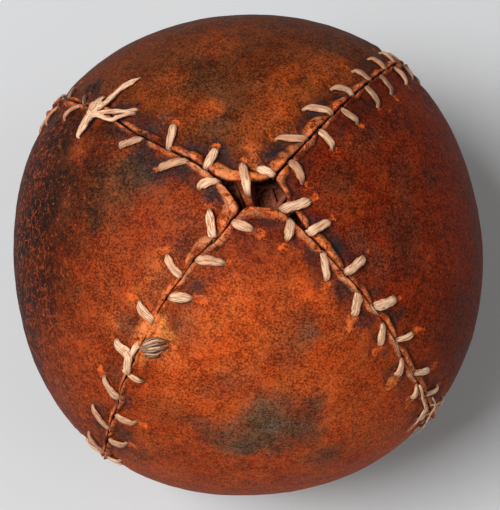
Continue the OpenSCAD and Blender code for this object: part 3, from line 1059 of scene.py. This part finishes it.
def leather_material():
    """Old tanned leather: pebbled grain, mottling, crackle, scuffed lips, dark soil beside the seams."""
    s = Shader("worn_leather")
    t = leather_textures(s)
    rubbed = s.times(s.mark("rub"), s.patchy([(t.mid, 1.0), (t.speck, 1.0)], -0.2, 0.15, 0.1, 0.8))
    wear = s.times(s.mark("wear"), s.patchy([(t.cloud, 1.0), (t.mid, 1.5)], -0.35, -0.08))
    torn = s.math("ADD", s.mark("tear"), s.weigh([(t.mid, 1.5), (t.speck, 0.9)]))
    tone = s.mix(wear, leather_face(s, t), leather_bare(s, t, rubbed))
    tone = s.mix(s.ramp(torn, 0.34, 0.64, 0.0, 0.8), tone, leather_torn(s, t, rubbed))
    # Painted shade in the stitch holes
    tone = s.mix(s.mark("hole_shade"), tone, colour(30, 17, 13))
    tone = s.mix(s.mark("cut"), tone, colour(136, 57, 34))
    # Painted shade down the cut edges, by the deep mark
    tone = s.mix(s.mark("deep"), tone, s.tint(tone, (0.16, 0.13, 0.12)))
    s.set(Base_Color=tone, Roughness=s.ramp(t.cloud, 0.3, 0.7, 0.55, 0.72), Specular_IOR_Level=0.06)
    s.bumps([(t.patch, 0.25, 0.25), (t.mid, 0.3, 0.1), (t.grain, 0.5, 0.09), (t.speck, 0.35, 0.05)])
    return s.material


def thread_material():
    """Waxed linen thread: fine fibres along the strand, and grime with painted shade at the holes and in the
    grooves.
    """
    s = Shader("waxed_thread")
    along = s.mark("strand", "Vector")
    fibre = s.noise(along, 0.13, 3.0, 0.65)
    blotch = s.noise(along, 0.8, 3.0, 0.6)
    tone = s.mix(s.ramp(fibre, 0.38, 0.54), colour(164, 98, 60), colour(248, 209, 173))
    tone = s.mix(s.ramp(blotch, 0.45, 0.68, 0.0, 0.7), tone, colour(206, 136, 92))
    tone = s.mix(s.ramp(s.noise(along, 0.3, 2.0), 0.6, 0.72, 0.0, 0.6), tone, colour(122, 74, 50))
    # The soil mark is grime, and painted shade where strands go down into holes and seams and on the
    # north-east seam
    tone = s.mix(s.ramp(s.mark("soil"), 0.05, 0.45, 0.0, 0.45), tone, colour(204, 136, 96))
    uneven = s.patchy([(blotch, 1.0), (fibre, 1.4)], -0.25, 0.2, 1.15, 0.45)
    soil = s.node("ShaderNodeClamp", Value=s.times(s.mark("soil"), uneven))
    tone = s.mix(soil, tone, colour(44, 33, 29))
    s.set(Base_Color=tone, Roughness=0.7, Specular_IOR_Level=0.2)
    s.bumps([(blotch, 0.2, 0.08), (fibre, 0.7, 0.08)])
    return s.material


def yarn_material(name, pale, deep, dirt):
    """Wound yarn: hairy, uneven in tone, and blackened where the opening lets dirt in."""
    s = Shader(name)
    hair = s.noise(s.mark("strand", "Vector"), 0.2, 3.0, 0.65)
    blotch = s.noise(s.coords(), 5.0, 3.0)
    tone = s.mix(s.ramp(hair, 0.35, 0.65), deep, pale)
    tone = s.mix(s.ramp(blotch, 0.4, 0.7, 0.0, 0.5), tone, deep)
    tone = s.mix(s.mark("soil"), tone, s.mix(s.ramp(hair, 0.4, 0.65), dirt * 0.25, dirt))
    s.set(Base_Color=tone, Roughness=0.9, Specular_IOR_Level=0.05)
    s.bumps([(hair, 0.8, 0.12)])
    return s.material


def rubber_material():
    """Old India rubber: dark, dull and a little crazed."""
    s = Shader("old_rubber")
    where = s.coords()
    cloud = s.noise(where, 3.0, 4.0)
    crazed = s.cells(where, 1.4, CELL_EDGES)
    tone = s.mix(s.ramp(cloud, 0.35, 0.7), colour(34, 30, 28), colour(66, 58, 52))
    s.set(Base_Color=tone, Roughness=s.ramp(cloud, 0.3, 0.7, 0.6, 0.85), Specular_IOR_Level=0.3)
    s.bumps([(cloud, 0.3, 0.2), (crazed, 0.3, 0.08)])
    return s.material


# Strands

def smooth_path(nodes, fine=0.2, coarse=0.6, hidden=-1.3):
    """A smooth curve through [point, across, width, thickness, soil, height] nodes, finer where it shows."""
    pos = np.array([nd[0] for nd in nodes])
    rest = np.array([[*nd[1], nd[2], nd[3], nd[4], nd[5]] for nd in nodes])
    padded = np.concatenate([[2 * pos[0] - pos[1]], pos, [2 * pos[-1] - pos[-2]]])
    out_pos, out_rest = [], []
    for i in range(len(pos) - 1):
        p0, p1, p2, p3 = padded[i:i + 4]
        seen = max(rest[i][6], rest[i + 1][6]) > hidden
        pieces = max(1, int(math.ceil(np.linalg.norm(p2 - p1) / (fine if seen else coarse))))
        for k in range(pieces):
            t = k / pieces
            out_pos.append(0.5 * (2 * p1 + (p2 - p0) * t + (2 * p0 - 5 * p1 + 4 * p2 - p3) * t ** 2
                                  + (3 * p1 - p0 - 3 * p2 + p3) * t ** 3))
            out_rest.append(rest[i] * (1 - t) + rest[i + 1] * t)
    out_pos.append(pos[-1])
    out_rest.append(rest[-1])
    return np.array(out_pos), np.array(out_rest)


# A strand's unevenness, as shares of its size: lobes of fibre, a slower turn, waves along it, and roughness
STRAND_LOBES = 0.06
STRAND_TURN = 0.04
STRAND_WAVES = 0.06
STRAND_ROUGH = 0.16


def squarish(x, power):
    """A sine or cosine that bends a circle towards a square."""
    return np.sign(x) * np.abs(x) ** power


def strand_tube(pos, rest, sides=20, lobes=8, twist=0.3, taper=0.0):
    """A flattened strand of fibres along a path, as points, faces and marks."""
    n = len(pos)
    along = np.zeros(n)
    along[1:] = np.cumsum(np.linalg.norm(np.diff(pos, axis=0), axis=1))
    way = unit_of(np.gradient(pos, axis=0))
    across = unit_of(rest[:, :3] - way * np.sum(rest[:, :3] * way, axis=1, keepdims=True))
    up = np.cross(way, across)

    def laid(flat, thick):
        return pos[:, None, :] + flat[..., None] * across[:, None, :] + thick[..., None] * up[:, None, :]

    size = np.ones(n)
    if taper:
        size = 0.2 + 0.8 * step(along[-1] - along, 0.0, taper)
    a = np.arange(sides) * 2 * math.pi / sides
    flat = squarish(np.cos(a), 0.8) * (rest[:, 3] / 2 * size)[:, None]
    thick = squarish(np.sin(a), 0.9) * (rest[:, 4] / 2 * size)[:, None]
    spin = along[:, None] * twist
    turn = a[None, :] + spin
    wave = STRAND_WAVES * np.sin(along * 1.7 + 2.0 * np.sin(along * 0.6))
    rough = 1.0 + STRAND_LOBES * np.cos(lobes * turn) + STRAND_TURN * np.cos(3 * turn + along[:, None] * 1.9)
    rough = rough + wave[:, None]
    rough = rough + STRAND_ROUGH * cloudy(laid(flat, thick).reshape(-1, 3), 0.8, 2, 71.0).reshape(n, sides)
    flat = rough * flat
    thick = rough * thick
    faces = []
    for i in range(n - 1):
        faces += ring_faces(i * sides, (i + 1) * sides, sides)
    faces.append(tuple(range(sides))[::-1])
    faces.append(tuple((n - 1) * sides + k for k in range(sides)))
    fibre = np.stack([flat * np.cos(spin) - thick * np.sin(spin), flat * np.sin(spin) + thick * np.cos(spin),
                      np.repeat(along[:, None] * 0.06, sides, axis=1)], axis=-1) * MM
    soil = np.repeat(rest[:, 5], sides)
    return laid(flat, thick).reshape(-1, 3), faces, fibre.reshape(-1, 3), soil


def strands_piece(name, tubes, material):
    """Several tubes as one mesh piece."""
    points, faces, fibres, soils = [], [], [], []
    count = 0
    for p, f, fibre, soil in tubes:
        points.append(p)
        faces += [tuple(i + count for i in face) for face in f]
        fibres.append(fibre)
        soils.append(soil)
        count += len(p)
    mesh = new_mesh(name, np.concatenate(points), faces)
    add_mark(mesh, "strand", np.concatenate(fibres))
    add_mark(mesh, "soil", np.concatenate(soils))
    return add_piece(name, mesh, material)


def seam_way(seam, deg, u):
    """The unit direction along a seam."""
    return unit_of(on_seam(seam, deg + 0.5, u) - on_seam(seam, deg - 0.5, u))


def node_at(seam, deg, v, h, across=None, width=1.0, thick=0.6, soil=0.0):
    """A strand's node at a distance v beside the seam's line and a height h over the leather's surface."""
    u = v + wander(seam, deg)
    here = on_seam(seam, deg, u)
    lift = BALL_R + h + ball_shape(here[None, :])[0]
    if across is None:
        across = seam_way(seam, deg, u)
    return [here * lift / BALL_R, across, width, thick, soil, h]


# The height of a strand's buried runs, and the soil, with painted shade, of what goes down out of sight
BURIED = -2.55
BELOW_GRIME_AND_SHADE = 2.2
# A stitch from its hole to its seam: share of its reach, height in millimetres, share of the lip's height to
# add, width as a share, thickness, and grime, which also paints shade where the strand goes down into its
# hole and into the seam
STITCH_SHAPE = [
    (1.12, BURIED, 0, 0.6, 0.7, BELOW_GRIME_AND_SHADE), (1.12, -1.4, 0, 0.6, 0.7, BELOW_GRIME_AND_SHADE), (1.05, -0.8, 0, 0.6, 0.62, 0.9),
    (1.0, -0.4, 0, 0.6, 0.56, 0.55), (0.9, 0.06, 0, 0.82, 0.54, 0.1), (0.76, 0.2, 0, 1.0, 0.54, 0.0),
    (0.55, 0.26, 0.25, 1.05, 0.54, 0.0), (0.32, 0.26, 1, 1.04, 0.54, 0.0), (0.17, 0.14, 1, 0.96, 0.54, 0.05),
    (0.06, -0.05, 0, 0.8, 0.5, 0.45), (0.0, -0.8, 0, 0.6, 0.4, 1.0), (0.0, -1.7, 0, 0.5, 0.4, BELOW_GRIME_AND_SHADE),
    (0.0, BURIED, 0, 0.5, 0.5, BELOW_GRIME_AND_SHADE)]


def lip_height_at(seam, deg, side):
    """How high the lip stands where a strand crosses it."""
    u = side * 0.9 + wander(seam, deg)
    here = on_seam(seam, deg, u)[None, :]
    e, near, degs, sides = edge_distance(here)
    return float(leather_height(here, np.array([LIP_PEAK]), near, degs, sides)[0] - ball_shape(here)[0])


def stitch_nodes(st):
    """One stitch: up through its hole, over the lip and down into the seam."""
    lip = lip_height_at(st["seam"], crossing(st), st["side"])
    nodes = []
    for share, height, on_lip, wide, thick, grime_and_shade in STITCH_SHAPE:
        t = 1.0 - share
        deg = st["hole"] + (st["gap"] - st["hole"]) * t + st["bow"] * math.sin(math.pi * t)
        v = st["side"] * st["reach"] * share
        h = height + on_lip * lip + st["lift"] * math.sin(math.pi * min(share, 1.0))
        nodes.append(node_at(st["seam"], deg, v, h, None, wide * st["width"], thick * THREAD_FLAT,
                             max(grime_and_shade, st["soil"])))
    return nodes


def sewn(rows):
    """The nodes of a row of stitches in sewing order."""
    nodes = []
    for st in rows:
        nodes += stitch_nodes(st)
    return nodes


def tucked(st):
    """The node where a thread ends, buried beside its last hole."""
    v = st["side"] * st["reach"] * 0.8
    return node_at(st["seam"], st["hole"] + 5.0, v, BURIED, None, 0.6, 0.5, BELOW_GRIME_AND_SHADE)


def laid_nodes(seam, route, soil=0.1):
    """Nodes of a strand that lies on the leather, through [degrees, v, height, width, thickness] points."""
    nodes = []
    for i, (deg, v, h, width, thick) in enumerate(route):
        before, after = route[max(i - 1, 0)], route[min(i + 1, len(route) - 1)]
        way = on_seam(seam, *after[:2]) - on_seam(seam, *before[:2])
        across = unit_of(np.cross(on_seam(seam, deg, v), way + 1e-6))
        grime_and_shade = BELOW_GRIME_AND_SHADE if h < -0.5 else soil
        nodes.append(node_at(seam, deg, v, h, across, width, thick, grime_and_shade))
    return nodes


def tube_of(nodes, fine=0.2, **shape):
    return strand_tube(*smooth_path(nodes, fine), **shape)


def wisp(seam, route, width, taper=2.5, soil=0.1):
    """A thin loose end, through [degrees, v, height] points."""
    nodes = laid_nodes(seam, [(*point, width, width * 0.6) for point in route], soil)
    return tube_of(nodes, 0.15, sides=10, lobes=4, taper=taper)


# The splice on the north-west seam: a double strand along the lips, and the tail laid across them
UPPER_STRAND = [(35, -3, BURIED, 0.5, 0.5), (35, -3, -0.8, 0.5, 0.45), (35, -2.6, 0.05, 0.5, 0.4),
                (35.9, -1.5, 0.75, 0.55, 0.4), (37.9, -0.7, 1.0, 0.58, 0.42), (41.1, 0.4, 1.1, 0.6, 0.42),
                (43.5, 1.1, 1.05, 0.6, 0.4), (44.8, 1.7, 0.7, 0.55, 0.4)]
LOWER_STRAND = [(45.6, 2.3, 0.5, 0.55, 0.4), (44.6, 1.6, 0.85, 0.6, 0.4), (41.9, 1, 1.0, 0.62, 0.42),
                (39.2, 0.8, 0.95, 0.62, 0.42), (37.3, 0.4, 0.95, 0.62, 0.42), (36.4, -0.3, 0.95, 0.6, 0.42),
                (35.4, -1.2, 0.65, 0.58, 0.4), (34.7, -2, 0.15, 0.55, 0.4), (34.5, -2.5, -0.6, 0.5, 0.4),
                (34.6, -2.6, BURIED, 0.5, 0.5)]
TAIL = [(47.1, 4.5, -1.2, 0.7, 0.5), (47.1, 4.5, -0.3, 0.9, 0.5), (46.9, 4.1, 0.2, 1.1, 0.5),
        (46.2, 3.1, 0.45, 1.3, 0.55), (45.3, 1.7, 0.8, 1.5, 0.65), (44.1, 0.5, 1.1, 1.5, 0.7),
        (43, -0.4, 1.05, 1.1, 0.6), (42.7, -1.3, 0.8, 0.85, 0.5), (43, -2.6, 0.5, 0.85, 0.45),
        (42.6, -3.9, 0.4, 1.1, 0.42), (41.5, -5.3, 0.34, 1.05, 0.4), (40.4, -6.6, 0.22, 0.7, 0.3)]
# The brush of fibres at the knot: its body, and the ends that it frays into
BRUSH = [(45.8, 2.4, 0.6, 0.7, 0.4), (45, 1.2, 1.0, 1.8, 0.6), (44.6, 0.3, 1.15, 2.4, 0.65),
         (44.8, -0.5, 1.1, 2.2, 0.5), (45.1, -1.1, 0.9, 1.8, 0.35)]
BRUSH_ROOT = [(45, 1, 1.1), (44.6, 0, 1.25)]
BRUSH_ENDS = [(46.9, -0.9, 0.8), (46.7, -1.3, 0.75), (46.3, -1.6, 0.75), (45.9, -1.8, 0.7),
              (45.4, -1.9, 0.75), (45, -1.8, 0.8), (44.5, -1.8, 0.85), (44.1, -1.6, 0.95), (46.2, -0.9, 1.0),
              (45.4, -1.2, 1.1)]
# Frayed ends at the join on the south-east seam, and slack lengths that show in that seam, with their widths
FRAY = [([(61, 0, 0.4), (62.9, -0.2, 0.6), (65.7, -0.7, 0.8), (69.7, -0.9, 0.8), (71.8, -1.6, 0.6),
          (74, -2.4, 0.5), (75.4, -3.5, 0.4), (76.6, -4.2, 0.3)], 0.36),
        ([(76.1, 1.6, 0.5), (74.5, 0, 0.9), (76.2, -0.8, 0.9), (80.6, -1.6, 0.7), (86, -2.4, 0.5),
          (84, -4.2, 0.3)], 0.36),
        ([(70, 0.8, 0.5), (73, 0.7, 0.8), (75, -0.1, 0.95), (74, -1.3, 0.6)], 0.3),
        ([(72, 0.1, 0.6), (74, 0.9, 0.8), (77, 2.1, 0.7), (79, 3.1, 0.4)], 0.28)]
SLACK = [([(44.6, 0, 0.1), (45.8, -0.1, 0.35), (48.6, -0.4, 0.35), (49.6, -0.3, 0.1)], 0.34),
         ([(53, 0, 0.1), (54, 0, 0.35), (56, -0.1, 0.35), (58.6, -0.3, 0.1)], 0.28),
         ([(34, 0, 0.1), (34.8, -0.1, 0.35), (36.4, -0.1, 0.35), (38.2, -0.1, 0.1)], 0.34)]
# On the south-west seam: a stitch worn down to separate strands, and a forked one
WORN_FIRST = [(40.2, 0.1, 0.2), (37.5, 1.2, 0.45), (36.3, 2.6, 0.1)]
WORN_LAST = [(42.4, 1.2, 0.3), (40.8, 2.5, 0.45), (39.5, 3.3, 0.1)]
WORN_SOIL = [0.9, 0.35, 0.8, 0.2, 0.9, 0.45, 1.1]
FORK = [([(44.4, -1.3, 0.5), (44.9, -0.7, 0.65), (46, -0.5, 0.65), (48.2, -0.3, 0.45), (49.6, -0.1, -0.2)],
         1.1),
        ([(41, -0.3, -0.1), (42, -0.4, 0.45), (43.1, -0.4, 0.65), (44.8, -0.5, 0.6)], 0.7)]


def worn_strands():
    """A stitch worn down to a fan of separate strands, from its first to its last."""
    chance = np.random.default_rng(5)
    tubes = []
    for k, soil in enumerate(WORN_SOIL):
        t = k / (len(WORN_SOIL) - 1)
        route = [np.array(a) + (np.array(b) - a) * t for a, b in zip(WORN_FIRST, WORN_LAST)]
        route[-1] += [chance.uniform(-0.3, 0.3), chance.uniform(-0.7, 0.3), 0.0]
        route[1] += [chance.uniform(-0.2, 0.2), 0.0, chance.uniform(-0.12, 0.08)]
        tubes.append(wisp("sw", route, chance.uniform(0.3, 0.5), 1.2, soil))
    return tubes


def build_threads():
    """The sewn lengths of thread and the knot, by the CAD node that each stands for."""
    material = thread_material()
    rows = STITCHES
    nw_up, hitch, nw_low = rows["nw"][:NW_JOIN - 1], rows["nw"][NW_JOIN - 1], rows["nw"][NW_JOIN + 1:]
    se_up, se_low = rows["se"][:SE_JOIN], rows["se"][SE_JOIN:]

    north = [tube_of([tucked(hitch)] + laid_nodes("nw", UPPER_STRAND)),
             tube_of(laid_nodes("nw", LOWER_STRAND) + sewn(nw_up[::-1]) + sewn(rows["ne"])
                     + [tucked(rows["ne"][-1])])]
    south = [tube_of([tucked(se_up[-1])] + sewn(se_up[::-1]) + sewn(rows["sw"]) + [tucked(rows["sw"][-1])])]
    south += [wisp("se", route, width, 0.8, 0.55) for route, width in SLACK]
    south += worn_strands() + [wisp("sw", route, width, 0.8, 0.0) for route, width in FORK]
    nw_lower = [tube_of([tucked(nw_low[-1])] + sewn(nw_low[::-1])),
                tube_of(laid_nodes("nw", TAIL, 0.05), taper=1.4)]
    se_lower = [tube_of([tucked(se_low[-1])] + sewn(se_low[::-1]))]
    se_lower += [wisp("se", route, width) for route, width in FRAY]

    pieces = {}
    for name, tubes in [("north_thread", north), ("south_thread", south), ("nw_lower_thread", nw_lower),
                        ("se_lower_thread", se_lower)]:
        pieces[name] = strands_piece("sewn_" + name, tubes, material)
    pieces["nw_knot"] = build_knot(material)
    return pieces


# The knot: its place, the two places that its axis runs between, its turns and where they start, its half
# height, half width and length, and its thread's width and thickness
KNOT_AT = (44.9, 1.2, 0.95)
KNOT_AXIS = [(45.6, 2.1, 0.75), (44.1, 0.5, 1.1)]
KNOT_TURNS = 1.25
KNOT_STEPS = 16
KNOT_START = 0.6 * math.pi
KNOT_HALF_H = 0.36
KNOT_HALF_W = 0.78
KNOT_LENGTH = 0.8
KNOT_THREAD = (0.7, 0.3)


def build_knot(material):
    """The turn of thread pulled tight round the tail on the north-west seam, and the brush it frays into."""
    centre = node_at("nw", *KNOT_AT)[0]
    start, end = (node_at("nw", *point)[0] for point in KNOT_AXIS)
    along = unit_of(end - start)
    out = unit_of(centre)
    beside = np.cross(along, out)
    nodes = []
    for k in range(int(KNOT_TURNS * KNOT_STEPS) + 1):
        a = 2 * math.pi * k / KNOT_STEPS + KNOT_START
        shift = (k / (KNOT_TURNS * KNOT_STEPS) - 0.5) * KNOT_LENGTH
        here = centre + along * shift + out * math.cos(a) * KNOT_HALF_H + beside * math.sin(a) * KNOT_HALF_W
        nodes.append([here, along, *KNOT_THREAD, 0.1, 1.0])
    tubes = [tube_of(nodes, sides=14), tube_of(laid_nodes("nw", BRUSH, 0.1), taper=0.8)]
    tubes += [wisp("nw", BRUSH_ROOT + [tip], 0.32, 0.9) for tip in BRUSH_ENDS]
    return strands_piece("tied_nw_knot", tubes, material)


# Windings: radius and yarn's thickness, number of wraps, seed, and pale, deep and dirty colours
WINDINGS = {"twine": (31.6, 0.6, 170, 1, (colour(172, 146, 112), colour(104, 80, 56), colour(164, 88, 64))),
            "wool": (22.9, 2.0, 44, 2, (colour(150, 132, 110), colour(92, 76, 60), colour(60, 50, 42)))}
STEPS_PER_WRAP = 56
# How fast the winding's plane leans and turns as it is wound, and what each seed adds
LEAN_RATE = 0.0871
TURN_RATE = 0.0337
SEED_RATE = 0.01


def wound_ball(kind):
    """One unbroken yarn wound round and round a plain core, with its plane turning slowly."""
    radius, yarn, wraps, seed, tones = WINDINGS[kind]
    count = wraps * STEPS_PER_WRAP
    t = np.arange(count) * 2 * math.pi / STEPS_PER_WRAP
    lean = t * (LEAN_RATE + seed * SEED_RATE)
    turn = t * (TURN_RATE + seed * SEED_RATE)
    x, y, z = np.cos(t), np.sin(t) * np.cos(lean), np.sin(t) * np.sin(lean)
    layer = radius - yarn * (0.5 + 1.1 * (1.0 - np.arange(count) / count))
    pos = np.stack([x * np.cos(turn) - y * np.sin(turn), x * np.sin(turn) + y * np.cos(turn), z], axis=1)
    pos *= (layer + 0.12 * yarn * soft_noise(pos * 30.0, 3.0, seed))[:, None]
    across = unit_of(np.cross(pos, np.gradient(pos, axis=0)))
    near_x = step(pos[:, 2] / radius, 0.86, 0.95)
    rest = np.column_stack([across, np.full(count, yarn * 1.1), np.full(count, yarn * 0.85),
                            0.1 + 0.88 * near_x, np.zeros(count)])
    tube = strand_tube(pos, rest, sides=6, lobes=2, twist=0.8)
    core = spread_points(5.0) * ((radius - yarn * 1.5) / BALL_R)
    filler = (core, hull_faces(core), core * MM, 0.3 + 0.7 * step(core[:, 2] / radius, 0.7, 0.85))
    return strands_piece("wound_" + kind, [tube, filler], yarn_material(kind + "_yarn", *tones))


def hull_faces(points):
    """Faces of a ball of points, wound outwards."""
    shell = bmesh.new()
    for p in points:
        shell.verts.new(p)
    shell.verts.ensure_lookup_table()
    shell.verts.index_update()
    bmesh.ops.convex_hull(shell, input=shell.verts)
    bmesh.ops.recalc_face_normals(shell, faces=shell.faces)
    shell.verts.index_update()
    faces = [tuple(v.index for v in face.verts) for face in shell.faces]
    shell.free()
    return faces


# Build the pieces

def stand_in(piece, node_name):
    """A piece that rides with the ball and stands for a CAD node, which it hides."""
    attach(piece, "root")
    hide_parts(node_name)


stand_in(build_cover(), "leather_cover")
for node_name, piece in build_threads().items():
    stand_in(piece, node_name)
stand_in(wound_ball("twine"), "twine_winding")
stand_in(wound_ball("wool"), "wool_winding")

core_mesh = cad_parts["rubber_core"].data
core_mesh.materials.clear()
core_mesh.materials.append(rubber_material())

# Floor, light and camera

FLOOR_HALF = 3.0
FLOOR_COLOUR = colour(205, 206, 208)
# The camera: distance, elevation and roll in degrees, the picture's height and the focal length in pixels,
# and how far it is moved to the right
CAMERA_DISTANCE = 6.5 * BALL_R * MM
CAMERA_ELEVATION = 76.75
CAMERA_ROLL = 9.34
FRAME_H = 510.0
FOCAL_PX = 1544.6
AIM_RIGHT = 0.36 * MM
# Lamps: the way to each in the camera's right, up and back, distance and size in metres, and power
LAMPS = {"key": ((-0.5, 0.15, 1.0), 0.6, 0.25, 4.1), "fill": ((0.9, 0.1, 0.8), 0.8, 0.6, 1.4)}
SKY_COLOUR = (0.96, 0.95, 0.88, 1.0)
SKY_STRENGTH = 0.13


def build_floor():
    corners = [(-1, -1), (1, -1), (1, 1), (-1, 1)]
    mesh = bpy.data.meshes.new("floor")
    mesh.from_pydata([(x * FLOOR_HALF, y * FLOOR_HALF, REST_Z * MM) for x, y in corners], [], [(0, 1, 2, 3)])
    s = Shader("pale_floor")
    s.set(Base_Color=FLOOR_COLOUR, Roughness=0.8, Specular_IOR_Level=0.2)
    add_piece("floor", mesh, s.material)


def camera_axes():
    el, roll = math.radians(CAMERA_ELEVATION), math.radians(CAMERA_ROLL)
    back = Vector((0.0, -math.cos(el), math.sin(el)))
    level_right = Vector((1.0, 0.0, 0.0))
    level_up = Vector((0.0, math.sin(el), math.cos(el)))
    right = level_right * math.cos(roll) + level_up * math.sin(roll)
    up = level_up * math.cos(roll) - level_right * math.sin(roll)
    return right, up, back


def place(obj, position, right, up, back):
    turn = Matrix((right, up, back)).transposed().to_4x4()
    obj.matrix_world = Matrix.Translation(position) @ turn


def build_camera():
    right, up, back = camera_axes()
    data = bpy.data.cameras.new("camera")
    data.sensor_fit = "VERTICAL"
    data.lens = FOCAL_PX / FRAME_H * data.sensor_height
    data.clip_start = 0.01
    camera = add_object("camera", data)
    place(camera, right * AIM_RIGHT + back * CAMERA_DISTANCE, right, up, back)
    bpy.context.scene.camera = camera


def build_light(name, way, distance, size, power):
    """A soft square lamp that faces the ball from a direction given in the camera's right, up and back."""
    right, up, back = camera_axes()
    off = (right * way[0] + up * way[1] + back * way[2]).normalized()
    data = bpy.data.lights.new(name, "AREA")
    data.size = size
    data.energy = power
    lamp = add_object(name, data)
    side = off.orthogonal().normalized()
    place(lamp, off * distance, side, off.cross(side), off)


def build_world():
    world = bpy.data.worlds.new("studio")
    world.use_nodes = True
    sky = world.node_tree.nodes["Background"]
    sky.inputs["Color"].default_value = SKY_COLOUR
    sky.inputs["Strength"].default_value = SKY_STRENGTH
    bpy.context.scene.world = world


build_floor()
build_camera()
for lamp_name, lamp in LAMPS.items():
    build_light(lamp_name, *lamp)
build_world()
bpy.context.scene.view_settings.view_transform = "Standard"
